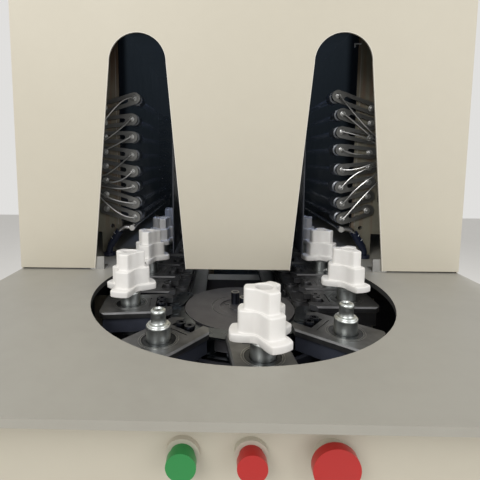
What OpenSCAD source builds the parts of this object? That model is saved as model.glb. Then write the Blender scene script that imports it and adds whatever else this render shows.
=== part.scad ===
// Blow moulding machine: a chain of spindles runs from a round loading opening
// through two lamp ovens, with a two-cavity blowing station at the rear.
// The origin is on the floor under the middle of the machine; the front faces -Y.

/* [Machine] */
// Height of the table top above the floor
table_h = 900; // [860:5:940]
// Width of the machine body
body_w = 760; // [750:5:820]
// Distance from the front sprocket's axis to the table's front edge
table_front = 290; // [285:5:320]
// Thickness of the table plate
table_t = 8; // [6:0.5:9]
// Corner radius of the table plate
table_corner_r = 14; // [6:1:20]
// Radius of the round loading opening in the table
opening_r = 215; // [213:1:222]
// Half width of the channel that the spindles run in
channel_half = 200; // [197:1:205]
// Thickness of the side, roof and floor-level sheets
sheet_t = 2; // [1.5:0.25:2.5]
// How far the front apron and door stand back under the table edge
apron_recess = 45; // [42:1:50]
// Height of the apron below the table
apron_h = 115; // [110:1:118]

/* [Front cover] */
// Distance from the front sprocket's axis to the face of the front cover
cover_y = 82; // [78:1:86]
// Thickness of the front cover
cover_t = 3; // [2:0.5:4]
// Height of the oven cover above the table
cover_h = 520; // [480:5:580]
// Gap between the front cover and the table
cover_gap = 3; // [2:0.5:5]
// Distance from the middle of the machine to the middle of each slot
slot_x = 170; // [166:1:174]
// Half width of each slot at its foot
slot_foot_half = 79.5; // [76:0.5:82]
// Radius of each slot's round top
slot_top_r = 47.5; // [44:0.5:49]
// Height of the middle of the round top above the table
slot_top_z = 353; // [340:1:360]

/* [Conveyor] */
// Chain pitch
chain_pitch = 38.1; // [37.6:0.1:38.6]
// Number of carriers on each straight
straight_carriers = 8; // [8:1:9]
// Angle of the front carrier from the front of the machine
rest_phase = 6.5; // [4:0.25:7]
// Distance from the chain line to the spindle axis
spindle_offset = 67.35; // [66:0.25:68.5]
// Depth of the carrier plates below the table top
plate_drop = 19; // [17.5:0.25:21]
// Radius of the chain pins
pin_r = 5; // [4:0.25:5.5]
// Radius of the chain rollers
roller_r = 9.5; // [8.5:0.25:10.5]
// End radius of the chain side plates
link_r = 12; // [11:0.25:12.5]
// Thickness of a chain side plate
link_t = 3; // [2.5:0.25:3.5]
// Length of a chain roller
roller_l = 18; // [16:0.5:18]
// Radius of the sprocket shafts
shaft_r = 15; // [13:0.5:18]

/* [Carrier] */
// Width of a carrier plate
plate_w = 70; // [64:1:72]
// Thickness of a carrier plate
plate_t = 8; // [6:0.5:8.5]
// Bevel along the upper edges of a carrier plate
plate_bevel = 2; // [1:0.25:2.5]
// Length of a carrier plate beyond the spindle axis
plate_reach = 40; // [38:0.5:41]
// Width of the carrier block under the plate
block_w = 60; // [54:1:62]
// Height of the carrier block
block_h = 20; // [18:0.5:22]
// Gap between the plate and its block
block_gap = 2; // [1.5:0.25:2.5]
// Width of the screw notch in the plate
notch_w = 34; // [31:0.5:36]
// Radius of a carrier screw's head
screw_r = 6.5; // [5.5:0.25:7]
// Height of a carrier screw's head
screw_h = 14; // [11:0.5:15]

/* [Spindle] */
// Radius of the spindle body
spindle_r = 14; // [13:0.25:14.5]
// Height of the spindle's shoulder above the carrier plate
shoulder_h = 21.5; // [20.5:0.25:22.5]
// Height of the spindle's tip above the carrier plate
spindle_h = 38; // [35:0.5:40]
// Radius of the spindle's neck
neck_r = 8.2; // [7.5:0.1:8.5]
// Radius of the spindle's tip
tip_r = 9; // [8.8:0.05:9.2]
// Radius of the spindle's running shaft
journal_r = 9; // [8:0.25:10]
// Radial running clearance of shafts, rods and pins
run_gap = 0.06; // [0.03:0.01:0.09]

/* [Cap] */
// Reach of the cap's foot arms
foot_reach = 37.5; // [35:0.5:41]
// Half width of the foot arms
foot_half = 14.75; // [14:0.25:16]
// Thickness of the foot arms
foot_t = 9; // [8:0.25:11]
// Reach of the middle arms
mid_reach = 28; // [26:0.5:31]
// Half width of the middle arms
mid_half = 12; // [11.25:0.25:13]
// Height of the middle step above the carrier plate
mid_top = 55; // [50:0.5:60]
// Reach of the top arms
top_reach = 21.75; // [20.5:0.25:23.5]
// Half width of the top arms
top_half = 8.8; // [8:0.1:10]
// Radius of the cap's core between the arms
core_r = 13.25; // [12.5:0.25:14]
// Height of the cap's top above the carrier plate
cap_top = 78.5; // [74:0.5:84]
// Angle from the first arm to the second
arm_angle_2 = 129; // [124:1:134]
// Angle from the first arm to the third
arm_angle_3 = 252; // [246:1:258]

/* [Lamps] */
// Number of lamps in each oven
lamp_rows = 8; // [7:1:8]
// Height of the lowest lamp above the table
lamp_low = 75.5; // [73:0.5:80]
// Height between lamps at their holders
lamp_step = 34.5; // [33:0.25:35.5]
// Height of the lowest arm clamp above the table
clamp_low = 92.5; // [90:0.5:95]
// Height between the arm clamps
clamp_step = 28.75; // [28:0.25:29.5]
// Distance from the middle of the machine to the lamps
lamp_x = 207; // [205:0.5:209]
// Distance from the middle of the machine to the arm clamps
clamp_x = 262; // [259:0.5:264]
// Distance from the front sprocket's axis to the front lamp arms
lamp_y = 200; // [198:1:206]
// Distance from the middle of the machine to the lamp posts' inner edge
post_in = 234; // [231:1:238]
// Distance between the front and the rear lamp arms
oven_l = 450; // [430:5:460]
// Half width of a lamp arm
arm_half = 11.5; // [10.5:0.25:12]
// Thickness of a lamp arm
arm_t = 5; // [4:0.5:6]
// Radius of a lamp holder
holder_r = 12; // [11:0.25:12.5]
// Length of a lamp holder
holder_l = 43; // [36:1:52]
// Radius of a quartz tube
tube_r = 5; // [4:0.25:5.5]
// Radius of a lamp wire
wire_r = 1.4; // [1:0.1:1.8]
// Radius of a cooling hose
hose_r = 6.5; // [5:0.5:8]

/* [Blowing station] */
// Depth of the rear bay
bay_l = 230; // [225:5:260]
// Height of the rear bay above the table
bay_h = 660; // [640:5:720]
// Height of a mould half
mould_h = 200; // [180:5:205]
// Width of a mould half
mould_w = 160; // [150:2:164]
// Thickness of a mould half
mould_t = 60; // [50:1:64]
// Closing stroke of each mould half
clamp_stroke = 89.75; // [80:0.25:92]
// Distance between the two bottle cavities
cavity_step = 76; // [72:1:80]
// Radius of a bottle cavity
cavity_r = 30; // [26:0.5:33]
// Radius of a tie bar
tie_r = 10; // [8:0.5:12]
// Radius of a clamp cylinder
clamp_cyl_r = 40; // [34:1:44]
// Radius of a clamp rod
clamp_rod_r = 12; // [10:0.5:14]
// Stroke of the stretch rods
stretch_stroke = 140; // [120:5:145]
// Stroke of the blow nozzles
nozzle_stroke = 10; // [8:0.5:12]
// Radius of a blow nozzle
nozzle_r = 12; // [10:0.5:13]

/* [Hidden] */
$fn = 48;
eps = 0.01;

// Chain and carriers
teeth = 16;
half_link = 180 / teeth;
step_angle = 4 * half_link;
carrier_pitch = 2 * chain_pitch;
pitch_r = chain_pitch / (2 * sin(half_link));
chord_r = pitch_r * cos(half_link);
straight_l = straight_carriers * carrier_pitch;
turn_carriers = 4;
right_first = rest_phase / step_angle * carrier_pitch;
left_first = carrier_pitch - right_first;

// Overall lengths, measured from the front sprocket's axis
bay_y = straight_l + 220;
rear_y = bay_y + bay_l;
depth = table_front + rear_y;
front_y = table_front - depth / 2;

// Heights measured from the carrier plate's top
block_top = -plate_t - block_gap;
block_low = block_top - block_h;
chain_mid = -plate_t - 17;
inner_gap = roller_l / 2;
outer_gap = inner_gap + link_t + 0.4;
pin_half = outer_gap + link_t + 0.6;
wheel_t = 8;
wheel_low = block_low - 4 - wheel_t;
wheel_r = 15;
bed_t = 10;
bed_top = wheel_low - 11;
rail_w = 6;
rail_top = block_low - 0.3;

// Plan sizes of a carrier, measured outwards from the chain line
plate_in = 6;
plate_out = spindle_offset + plate_reach;
block_in = link_r + 2.5;
block_out = plate_out - 5;
notch_l = 24;
screw_x = 22;
screw_step = 15;
ring_r = 24.5;
ring_in_r = 21;

// Frame tubes
tube_w = 40;
leg_x = body_w / 2 - sheet_t - tube_w / 2;
front_leg_y = -table_front + apron_recess + 21 + tube_w / 2;
leg_ys = [front_leg_y, 300, bay_y - 30, rear_y - 60];
foot_h = 40;
weld_gap = 0.1;
rail_x = leg_x - tube_w / 2 - weld_gap;
cross_top = bed_top - plate_drop - bed_t;
cross_ys = [front_leg_y, 300, bay_y - 30];
door_top = -apron_h - 12;
door_low = -table_h + 90;
door_pin_r = 4;
door_x = -body_w / 2 + sheet_t + 16;
door_y = -table_front + apron_recess + 10;
door_tab_t = 6;

// Push buttons
button_r = 11;
button_z = -apron_h / 2 - 4;
button_xs = [-60, 0, 70];
button_stroke = 5;
stop_head_r = 20;

// Blowing station
station_y = bay_y + 98;
end_t = 20;
end_x = body_w / 2 - 30;
end_h = 280;
end_w = mould_w + 20;
mould_low = 50;
mould_open = clamp_stroke + 0.25;
platen_t = 22;
platen_x = mould_open + mould_t;
tie_dy = mould_w / 2 - 16;
tie_z1 = mould_low - 22;
tie_z2 = mould_low + mould_h + 12;
clamp_z = mould_low + mould_h / 2;
cyl_x = platen_x + platen_t + 66;
bridge_t = 20;
bridge_half = mould_w / 2 - 18;
guide_x = 46;
bridge_top = end_h + bridge_t;
nozzle_low = mould_low + mould_h + nozzle_stroke + 1;
cross_plate_z = bridge_top + nozzle_stroke + 8;
cross_plate_t = 12;
stretch_r = 5;
stretch_cyl_r = 18;
stretch_cyl_h = stretch_stroke + 36;
stretch_head_z = bridge_top + stretch_cyl_h + stretch_stroke + 4;
guard_y = rear_y - 36;
guard_t = 5;
guard_x = -body_w / 2 + sheet_t + 9;

// Lamps
rear_arm_y = lamp_y + oven_l;
oven_front = cover_y + cover_t + 2;
oven_top = slot_top_z + slot_top_r + 52;
post_out = clamp_x + 38;
post_low = 44;
post_t = 12;
post_leg_w = 24;
reflector_t = 1.5;
pipe_r = 3;
pipe_x = lamp_x - 1;
pipe_z = lamp_low - holder_r - pipe_r - 3;
strip_w = 16;
strip_in = post_out - strip_w;
hose_x = clamp_x - 8;
hose_y = lamp_y - 20;
hose_lean = 31;
hose_turn = 26;
hose_run = 34;
hose_end_x = hose_x - hose_turn * (1 - cos(hose_lean)) - hose_run * sin(hose_lean);
hose_end_z = 8 + hose_turn * sin(hose_lean) + hose_run * cos(hose_lean);
fitting_r = 4.5;
fitting_turn = (pipe_z - hose_end_z) / (1 - sin(hose_lean));
fitting_end_x = hose_end_x - fitting_turn * cos(hose_lean);
head_r = 5.3;
head_h = 4.2;

// How far each lamp is set from its even place, outwards and upwards, from the bottom up
right_set = [[7, 0], [5.5, -4], [1.5, -6], [3.5, -5], [0, 0], [0, 0], [0.5, 0.5], [-10, 0.5]];
left_set = [[-1.5, 0], [-1, -6], [2, -8], [1, -11], [2.5, -13], [2, -11.5], [1.5, -11], [-4.5, -5]];

// Heights of each wire's two bends and of its end on the terminal strip, from the bottom up
right_wires = [[110, 137, 154], [147, 159, 172], [178, 176, 184], [171, 187, 194],
               [198, 206, 203], [241, 236, 213], [262, 236, 223], [285, 236, 233]];
left_wires = [[74, 105, 128], [108, 114, 136], [130, 138, 143], [136, 151, 151],
              [179, 152, 160], [220, 210, 199], [243, 231, 212], [316, 260, 235]];

// Movement into the shared frame: the front sprocket's axis at the table top
module on_table() {
  translate([0, front_y, table_h]) children();
}

// The same place at the height of the carrier plates
module on_plates() {
  translate([0, front_y, table_h - plate_drop]) children();
}

// A carrier on the front turn at an angle from the front
module at_front(angle) {
  rotate([0, 0, angle - 90]) translate([chord_r, 0, 0]) children();
}

// A carrier on the rear turn at an angle from the right side
module at_rear(angle) {
  translate([0, straight_l, 0]) rotate([0, 0, angle]) translate([chord_r, 0, 0]) children();
}

// A carrier on the right or the left straight
module at_right(y) {
  translate([pitch_r, y, 0]) children();
}
module at_left(y) {
  translate([-pitch_r, y, 0]) rotate([0, 0, 180]) children();
}

module both_sides() {
  children();
  mirror([1, 0, 0]) children();
}

module box(x, y, z) {
  translate([x[0], y[0], z[0]]) cube([x[1] - x[0], y[1] - y[0], z[1] - z[0]]);
}

module rod_x(r, x1, x2) {
  translate([x1, 0, 0]) rotate([0, 90, 0]) cylinder(r = r, h = x2 - x1);
}

module rod_y(r, y1, y2) {
  translate([0, y1, 0]) rotate([-90, 0, 0]) cylinder(r = r, h = y2 - y1);
}

module rod_z(r, z1, z2) {
  translate([0, 0, z1]) cylinder(r = r, h = z2 - z1);
}

// A stadium of half width r from (x1, 0) to (x2, 0)
module stadium(r, x1, x2) {
  translate([x1, 0]) circle(r = r);
  translate([x2, 0]) circle(r = r);
  translate([x1, -r]) square([x2 - x1, 2 * r]);
}

module round_rect(x1, x2, y1, y2, r) {
  translate([x1 + r, y1]) square([x2 - x1 - 2 * r, y2 - y1]);
  translate([x1, y1 + r]) square([x2 - x1, y2 - y1 - 2 * r]);
  for (x = [x1 + r, x2 - r], y = [y1 + r, y2 - r]) translate([x, y]) circle(r = r);
}

// An outline of the whole chain loop at a distance from the middle line
module loop_outline(r) {
  circle(r = r, $fn = 96);
  translate([0, straight_l]) circle(r = r, $fn = 96);
  translate([-r, 0]) square([2 * r, straight_l]);
}

// Frame

module base_frame() {
  color([0.32, 0.33, 0.35]) on_table() difference() {
    union() {
      for (y = leg_ys, s = [-1, 1]) {
        box([s * leg_x - tube_w / 2, s * leg_x + tube_w / 2], [y - tube_w / 2, y + tube_w / 2],
            [foot_h - table_h, -table_t]);
      }
      for (s = [-1, 1], i = [0:2], z = [-table_t - tube_w, 60 - table_h]) {
        box([s * leg_x - tube_w / 2, s * leg_x + tube_w / 2],
            [leg_ys[i] + tube_w / 2 + weld_gap, leg_ys[i + 1] - tube_w / 2 - weld_gap], [z, z + tube_w]);
      }
      for (y = cross_ys) {
        box([-rail_x, rail_x], [y - tube_w / 2, y + tube_w / 2], [cross_top - tube_w, cross_top]);
      }
      for (y = leg_ys) {
        box([-rail_x, rail_x], [y - tube_w / 2, y + tube_w / 2], [60 - table_h, 60 + tube_w - table_h]);
      }
      for (z = [door_top + 1, door_low - 1 - door_tab_t]) {
        box([-leg_x - tube_w / 2, door_x + 12], [door_y - 8, front_leg_y - tube_w / 2 - weld_gap],
            [z, z + door_tab_t]);
      }
    }
    translate([door_x, door_y, 0]) rod_z(door_pin_r + run_gap, -table_h, -60);
  }
}

module levelling_feet() {
  color([0.2, 0.2, 0.21]) translate([0, front_y, 0])
    for (y = leg_ys, s = [-1, 1]) translate([s * leg_x, y, 0]) {
      rod_z(22, 0, 10);
      rod_z(10, 10, 26);
      rod_z(16, 26, foot_h);
    }
}

module table_plate() {
  color([0.64, 0.63, 0.6]) on_table() translate([0, 0, -table_t]) difference() {
    linear_extrude(table_t) difference() {
      round_rect(-body_w / 2, body_w / 2, -table_front, rear_y, table_corner_r);
      circle(r = opening_r, $fn = 120);
      translate([-channel_half, 0]) square([2 * channel_half, straight_l]);
      translate([0, straight_l]) circle(r = channel_half, $fn = 120);
      for (s = [-1, 1]) translate([s * hose_x, hose_y]) circle(r = hose_r + 1.5);
    }
    translate([guard_x, guard_y + guard_t / 2, 0]) rod_z(door_pin_r + run_gap, 2, table_t + 1);
  }
}

module slot_outline() {
  foot = [slot_foot_half, cover_gap - 1];
  side_r = slot_top_r - 0.3;
  reach = norm([foot[0], slot_top_z - foot[1]]);
  turn = atan2(slot_top_z - foot[1], -foot[0]) - asin(side_r / reach);
  run = sqrt(reach * reach - side_r * side_r);
  touch = [foot[0] + run * cos(turn), foot[1] + run * sin(turn)];
  translate([0, slot_top_z]) circle(r = slot_top_r, $fn = 96);
  polygon([[-foot[0], foot[1]], foot, touch, [-touch[0], touch[1]]]);
}

module front_cover() {
  color([0.81, 0.77, 0.71]) on_table() translate([0, cover_y + cover_t, 0]) rotate([90, 0, 0])
    linear_extrude(cover_t) difference() {
      translate([-body_w / 2, cover_gap]) square([body_w, cover_h - cover_gap]);
      for (s = [-1, 1]) translate([s * slot_x, 0]) slot_outline();
    }
}

// Angle brackets behind the outer foot of each slot
module slot_brackets() {
  x1 = slot_x + slot_foot_half - 15;
  x2 = x1 + 24;
  y1 = cover_y + cover_t;
  color([0.7, 0.7, 0.68]) on_table() both_sides() {
    box([x1, x2], [y1, y1 + 3], [0, 23]);
    box([x1, x2], [y1, y1 + 24], [0, 3]);
  }
}

// Upper side sheets, with a row of vents beside the oven
module side_covers() {
  y1 = cover_y + cover_t;
  color([0.81, 0.77, 0.71]) on_table() both_sides() difference() {
    box([body_w / 2 - sheet_t, body_w / 2], [y1, bay_y], [0, cover_h - sheet_t]);
    for (row = [0:1], i = [0:7]) {
      box([body_w / 2 - 2 * sheet_t, body_w / 2 + 1],
          [y1 + 130 + row * 300, y1 + 270 + row * 300],
          [cover_h - 200 + i * 18, cover_h - 194 + i * 18]);
    }
  }
}

module roof_cover() {
  y1 = cover_y + cover_t;
  color([0.81, 0.77, 0.71]) on_table() difference() {
    box([-body_w / 2, body_w / 2], [y1, bay_y], [cover_h - sheet_t, cover_h]);
    for (s = [-1, 1], i = [0:9]) {
      box([s * slot_x - 60, s * slot_x + 60], [lamp_y + 60 + i * 30, lamp_y + 70 + i * 30],
          [cover_h - 2 * sheet_t, cover_h + 1]);
    }
  }
}

// Lower sheets on both sides and at the rear
module lower_panels() {
  top = -table_t;
  low = 50 - table_h;
  y1 = -table_front + apron_recess;
  color([0.81, 0.77, 0.71]) on_table() {
    both_sides() difference() {
      box([body_w / 2 - sheet_t, body_w / 2], [y1, rear_y - sheet_t], [low, top]);
      for (i = [0:9]) {
        box([body_w / 2 - 2 * sheet_t, body_w / 2 + 1], [bay_y - 160, bay_y - 20],
            [low + 90 + i * 20, low + 98 + i * 20]);
      }
    }
    box([-body_w / 2, body_w / 2], [rear_y - sheet_t, rear_y], [low, top]);
  }
}

// Fixed apron under the table's front edge, with collars for the push buttons
module control_apron() {
  x = body_w / 2 - sheet_t - 0.5;
  y1 = -table_front + apron_recess;
  color([0.75, 0.72, 0.67]) on_table() difference() {
    union() {
      box([-x, x], [y1, y1 + sheet_t], [-apron_h, -table_t]);
      box([-x, x], [y1, y1 + 21], [-table_t - sheet_t, -table_t]);
      for (bx = button_xs) translate([bx, 0, button_z]) rod_y(button_r + 4, y1 - 5, y1 + 16);
    }
    for (bx = button_xs) translate([bx, 0, button_z]) rod_y(button_r + run_gap, y1 - 6, y1 + 14);
  }
}

module push_button(bx, head_r, out) {
  y1 = -table_front + apron_recess;
  on_table() translate([bx, 0, button_z]) {
    rod_y(button_r, y1 - 5 - out, y1 + 14 - button_stroke - 1);
    rod_y(head_r, y1 - 13 - out, y1 - 5 - out);
  }
}

module start_button() {
  color([0.12, 0.5, 0.22]) push_button(button_xs[0], button_r + 2, button_stroke + 1);
}
module stop_button() {
  color([0.65, 0.1, 0.08]) push_button(button_xs[1], button_r + 2, button_stroke + 1);
}
module emergency_stop() {
  color([0.7, 0.08, 0.06]) push_button(button_xs[2], stop_head_r, button_stroke + 1);
}

// Folded pan door under the apron, with a pivot pin at its top and its foot
module lower_door() {
  x2 = body_w / 2 - sheet_t - 4;
  y1 = -table_front + apron_recess;
  color([0.81, 0.77, 0.71]) on_table() {
    difference() {
      union() {
        box([door_x, x2], [y1, y1 + 19], [door_low, door_top]);
        translate([door_x, door_y, 0]) rod_z(door_y - y1, door_low, door_top);
      }
      box([door_x + 20, x2 - sheet_t], [y1 + sheet_t, y1 + 20], [door_low + sheet_t, door_top - sheet_t]);
    }
    translate([door_x, door_y, 0]) {
      rod_z(door_pin_r, door_top - 1, door_top + 1 + door_tab_t);
      rod_z(door_pin_r, door_low - 1 - door_tab_t, door_low + 1);
    }
  }
}

module door_handle() {
  y1 = -table_front + apron_recess;
  x = body_w / 2 - 70;
  color([0.15, 0.15, 0.16]) on_table() translate([x, 0, 0]) {
    for (z = [-340, -220]) translate([0, 0, z]) rod_y(6, y1 - 26, y1);
    translate([0, y1 - 26, 0]) rod_z(7, -350, -210);
  }
}

// Oven

// A wide plate with a hole at its foot, on a leg
module lamp_post(y) {
  difference() {
    box([post_in, post_out], [y, y + post_t], [post_low, oven_top]);
    translate([clamp_x - 9.5, 0, post_low + 12]) rod_y(4.5, y - 1, y + post_t + 1);
  }
  box([clamp_x - post_leg_w / 2, clamp_x + post_leg_w / 2], [y, y + post_t], [0, post_low]);
}

module lamp_posts() {
  color([0.36, 0.35, 0.32]) on_table() both_sides() {
    lamp_post(lamp_y);
    lamp_post(rear_arm_y - post_t);
    box([pipe_x - 6, post_in], [rear_arm_y - post_t, rear_arm_y], [post_low, pipe_z + pipe_r + 1.5]);
  }
}

function lamp_place(set, i) = [lamp_x + set[i][0], lamp_low + i * lamp_step + set[i][1]];

// Each lamp of one oven in turn; the children stand at its axis
module at_lamps(set) {
  for (i = [0:lamp_rows - 1]) translate([lamp_place(set, i)[0], 0, lamp_place(set, i)[1]]) children();
}

// A slotted arm from its lamp to its clamp on the post
module lamp_arm(set, i, y) {
  lamp = lamp_place(set, i);
  run = [clamp_x, clamp_low + i * clamp_step] - lamp;
  translate([lamp[0], y + arm_t, lamp[1]]) rotate([90, 0, 0]) rotate([0, 0, atan2(run[1], run[0])])
    linear_extrude(arm_t) difference() {
      stadium(arm_half, 0, norm(run) + 3);
      stadium(4.2, 17, norm(run));
      circle(r = 2);
    }
}

module arm_bank(set) {
  for (i = [0:lamp_rows - 1]) {
    lamp_arm(set, i, lamp_y - arm_t);
    lamp_arm(set, i, rear_arm_y);
  }
}

module lamp_arms() {
  color([0.42, 0.42, 0.42]) on_table() {
    arm_bank(right_set);
    mirror([1, 0, 0]) arm_bank(left_set);
  }
}

// A turned holder with a waist behind the arm and a socket for the tube
module lamp_holder() {
  rotate([-90, 0, 0]) rotate_extrude() polygon([
    [0, 0], [holder_r - 2.5, 0], [holder_r - 2.5, 11], [holder_r, 12.5], [holder_r, holder_l],
    [tube_r + 0.3, holder_l], [tube_r + 0.3, holder_l - 13], [0, holder_l - 13]
  ]);
}

module holder_bank(set) {
  at_lamps(set) {
    translate([0, lamp_y, 0]) lamp_holder();
    translate([0, rear_arm_y, 0]) mirror([0, 1, 0]) lamp_holder();
  }
}

module lamp_holders() {
  color([0.5, 0.5, 0.48]) on_table() {
    holder_bank(right_set);
    mirror([1, 0, 0]) holder_bank(left_set);
  }
}

module tube_bank(set) {
  at_lamps(set) rod_y(tube_r, lamp_y + holder_l - 12.5, rear_arm_y - holder_l + 12.5);
}

module quartz_lamps() {
  color([0.3, 0.29, 0.3]) on_table() {
    tube_bank(right_set);
    mirror([1, 0, 0]) tube_bank(left_set);
  }
}

// Screws at the lamp and hexagon nuts at the clamp, with their washers
module arm_screws(set, y, out) {
  at_lamps(set) translate([0, y, 0]) rotate([out * 90, 0, 0]) {
    cylinder(r = head_r, h = 1);
    difference() {
      translate([0, 0, 1 - eps]) cylinder(r = 2.9, h = head_h - 1 + eps);
      translate([0, 0, head_h - 1.6]) cylinder(r = 1.5, h = 2, $fn = 6);
    }
  }
  for (i = [0:lamp_rows - 1]) translate([clamp_x, y, clamp_low + i * clamp_step]) rotate([out * 90, 0, 0]) {
    cylinder(r = 6.2, h = 1.2);
    translate([0, 0, 1.2 - eps]) cylinder(r = 5.2, h = 4, $fn = 6);
    cylinder(r = 3, h = 8);
  }
}

module screw_bank(set) {
  arm_screws(set, lamp_y - arm_t, 1);
  arm_screws(set, rear_arm_y + arm_t, -1);
}

module lamp_screws() {
  color([0.78, 0.78, 0.76]) on_table() {
    screw_bank(right_set);
    mirror([1, 0, 0]) screw_bank(left_set);
  }
}

// A wire is swept round a curve through four hand-chosen points
function curve_point(p, t) = pow(1 - t, 3) * p[0] + 3 * t * pow(1 - t, 2) * p[1]
  + 3 * t * t * (1 - t) * p[2] + t * t * t * p[3];
function curve_slope(p, t) = 3 * pow(1 - t, 2) * (p[1] - p[0]) + 6 * t * (1 - t) * (p[2] - p[1])
  + 3 * t * t * (p[3] - p[2]);
function unit(v) = v / norm(v);

module wire(p, rings = 14, sides = 8) {
  points = [
    for (i = [0:rings])
      let (
        t = i / rings,
        along = unit(curve_slope(p, t)),
        side = unit(cross(along, [0, 0, 1])),
        up = cross(side, along)
      )
      for (j = [0:sides - 1])
        curve_point(p, t) + wire_r * (cos(360 * j / sides) * side + sin(360 * j / sides) * up)
  ];
  faces = concat(
    [[for (j = [0:sides - 1]) j]],
    [
      for (i = [0:rings - 1], j = [0:sides - 1])
        let (a = i * sides + j, b = i * sides + (j + 1) % sides)
        [a, a + sides, b + sides, b]
    ],
    [[for (j = [sides - 1:-1:0]) rings * sides + j]]
  );
  polyhedron(points, faces, convexity = 4);
}

// The wires of one oven, each from its lamp's screw to the terminal strip
module wire_bank(set, bends) {
  face = lamp_y - arm_t - head_h - 0.2 - wire_r;
  for (i = [0:lamp_rows - 1]) {
    lamp = lamp_place(set, i);
    back = i % 2 == 0 ? 4 : 0;
    wire([
      [lamp[0], face, lamp[1]],
      [lamp[0] + 26, face - 10 + back, bends[i][0]],
      [clamp_x - 4, face - 16 + back, bends[i][1]],
      [strip_in - 0.9, lamp_y - 16 + back, bends[i][2]]
    ]);
  }
}

module lamp_wires() {
  color([0.85, 0.85, 0.83]) on_table() {
    wire_bank(right_set, right_wires);
    mirror([1, 0, 0]) wire_bank(left_set, left_wires);
  }
}

// Terminal strips on the front face of the posts, behind the cover
module terminal_strips() {
  color([0.3, 0.3, 0.31]) on_table() both_sides()
    box([strip_in, post_out], [lamp_y - 18, lamp_y], [110, 252]);
}

// Dark bright sheets behind the lamps, fixed to the posts' inner edges
module reflectors() {
  color([0.16, 0.18, 0.22]) on_table() both_sides()
    box([post_in - reflector_t, post_in], [lamp_y, rear_arm_y], [post_low + 22, oven_top - 1]);
}

// Inner wall and ceiling of each oven, hung from the roof, and a lining on the bay's partition
module oven_walls() {
  x1 = pitch_r + 14;
  y2 = rear_arm_y + 20;
  color([0.1, 0.11, 0.14]) on_table() {
    both_sides() {
      box([x1, x1 + 1.5], [oven_front, y2], [30, cover_h - sheet_t]);
      box([x1, body_w / 2 - sheet_t], [oven_front, y2], [oven_top, oven_top + 1.5]);
    }
    difference() {
      box([sheet_t - body_w / 2, body_w / 2 - sheet_t], [bay_y - 1.5, bay_y], [0, oven_top]);
      box([-150, 150], [bay_y - 2, bay_y + 1], [60, 260]);
    }
  }
}

// Cooling hoses rise through the table and lean towards the pipes beside the lamps
module cooling_hoses() {
  color([0.1, 0.16, 0.3]) on_table() both_sides() translate([hose_x, hose_y, 0]) {
    rod_z(hose_r - 1, -70, 8);
    rod_z(hose_r + 5, 0, 6);
    translate([-hose_turn, 0, 8]) {
      rotate([90, 0, 0]) rotate_extrude(angle = hose_lean) translate([hose_turn, 0]) circle(r = hose_r);
      rotate([0, -hose_lean, 0]) translate([hose_turn, 0, 0]) rod_z(hose_r + 1, 0, hose_run);
    }
  }
}

// A pipe runs back from the hose's fitting on each side
module guide_rods() {
  color([0.3, 0.3, 0.33]) on_table() both_sides() {
    translate([pipe_x, 0, pipe_z]) {
      rod_y(pipe_r, hose_y, rear_arm_y - post_t);
      rod_y(fitting_r + 1, hose_y - 7, hose_y + 7);
    }
    translate([0, hose_y, pipe_z]) rod_x(fitting_r, pipe_x, fitting_end_x + eps);
    translate([fitting_end_x, hose_y, pipe_z - fitting_turn]) rotate([90, 0, 0]) rotate([0, 0, hose_lean])
      rotate_extrude(angle = 90 - hose_lean) translate([fitting_turn, 0]) circle(r = fitting_r);
  }
}

// Conveyor

// The bed plate with two loop-shaped rails that the carrier blocks run on
module conveyor_bed() {
  rail_in = pitch_r + block_in + 20;
  rail_out = pitch_r + block_out - 6;
  color([0.22, 0.23, 0.26]) on_plates() difference() {
    union() {
      translate([0, 0, bed_top - bed_t]) linear_extrude(bed_t) loop_outline(rail_out + 12);
      for (r = [rail_in, rail_out]) {
        translate([0, 0, bed_top - eps]) linear_extrude(rail_top - bed_top + eps) difference() {
          loop_outline(r);
          loop_outline(r - rail_w);
        }
      }
    }
    for (y = [0, straight_l]) translate([0, y, bed_top - bed_t - 1]) cylinder(r = shaft_r + 6, h = bed_t + 2);
    translate([-60, 130, bed_top - bed_t - 1]) cube([120, straight_l - 260, bed_t + 2]);
  }
}

module bearing_housings() {
  color([0.3, 0.31, 0.33]) on_plates() for (y = [0, straight_l]) translate([0, y, 0]) difference() {
    union() {
      rod_z(58, bed_top, bed_top + 6);
      rod_z(36, bed_top, chain_mid - inner_gap - 1);
    }
    rod_z(shaft_r + run_gap, bed_top - 1, chain_mid);
    for (a = [45:90:315]) rotate([0, 0, a]) translate([48, 0, 0]) rod_z(3.4, bed_top - 1, bed_top + 7);
  }
}

// Worm gearbox and motor under the rear sprocket
module gear_motor() {
  top = bed_top - bed_t;
  color([0.25, 0.3, 0.36]) on_plates() translate([0, straight_l, 0]) difference() {
    union() {
      box([-52, 52], [-52, 52], [top - 124, top]);
      translate([0, 0, top - 70]) {
        rod_x(60, 52 - eps, 64);
        rod_x(50, 64 - eps, 200);
        for (i = [0:9]) rod_x(54, 78 + i * 11, 82 + i * 11);
        rod_x(52, 200 - eps, 222);
      }
      box([100, 160], [-28, 28], [top - 60, top - 4]);
    }
    rod_z(shaft_r + run_gap, top - 60, top + 1);
  }
}

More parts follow.
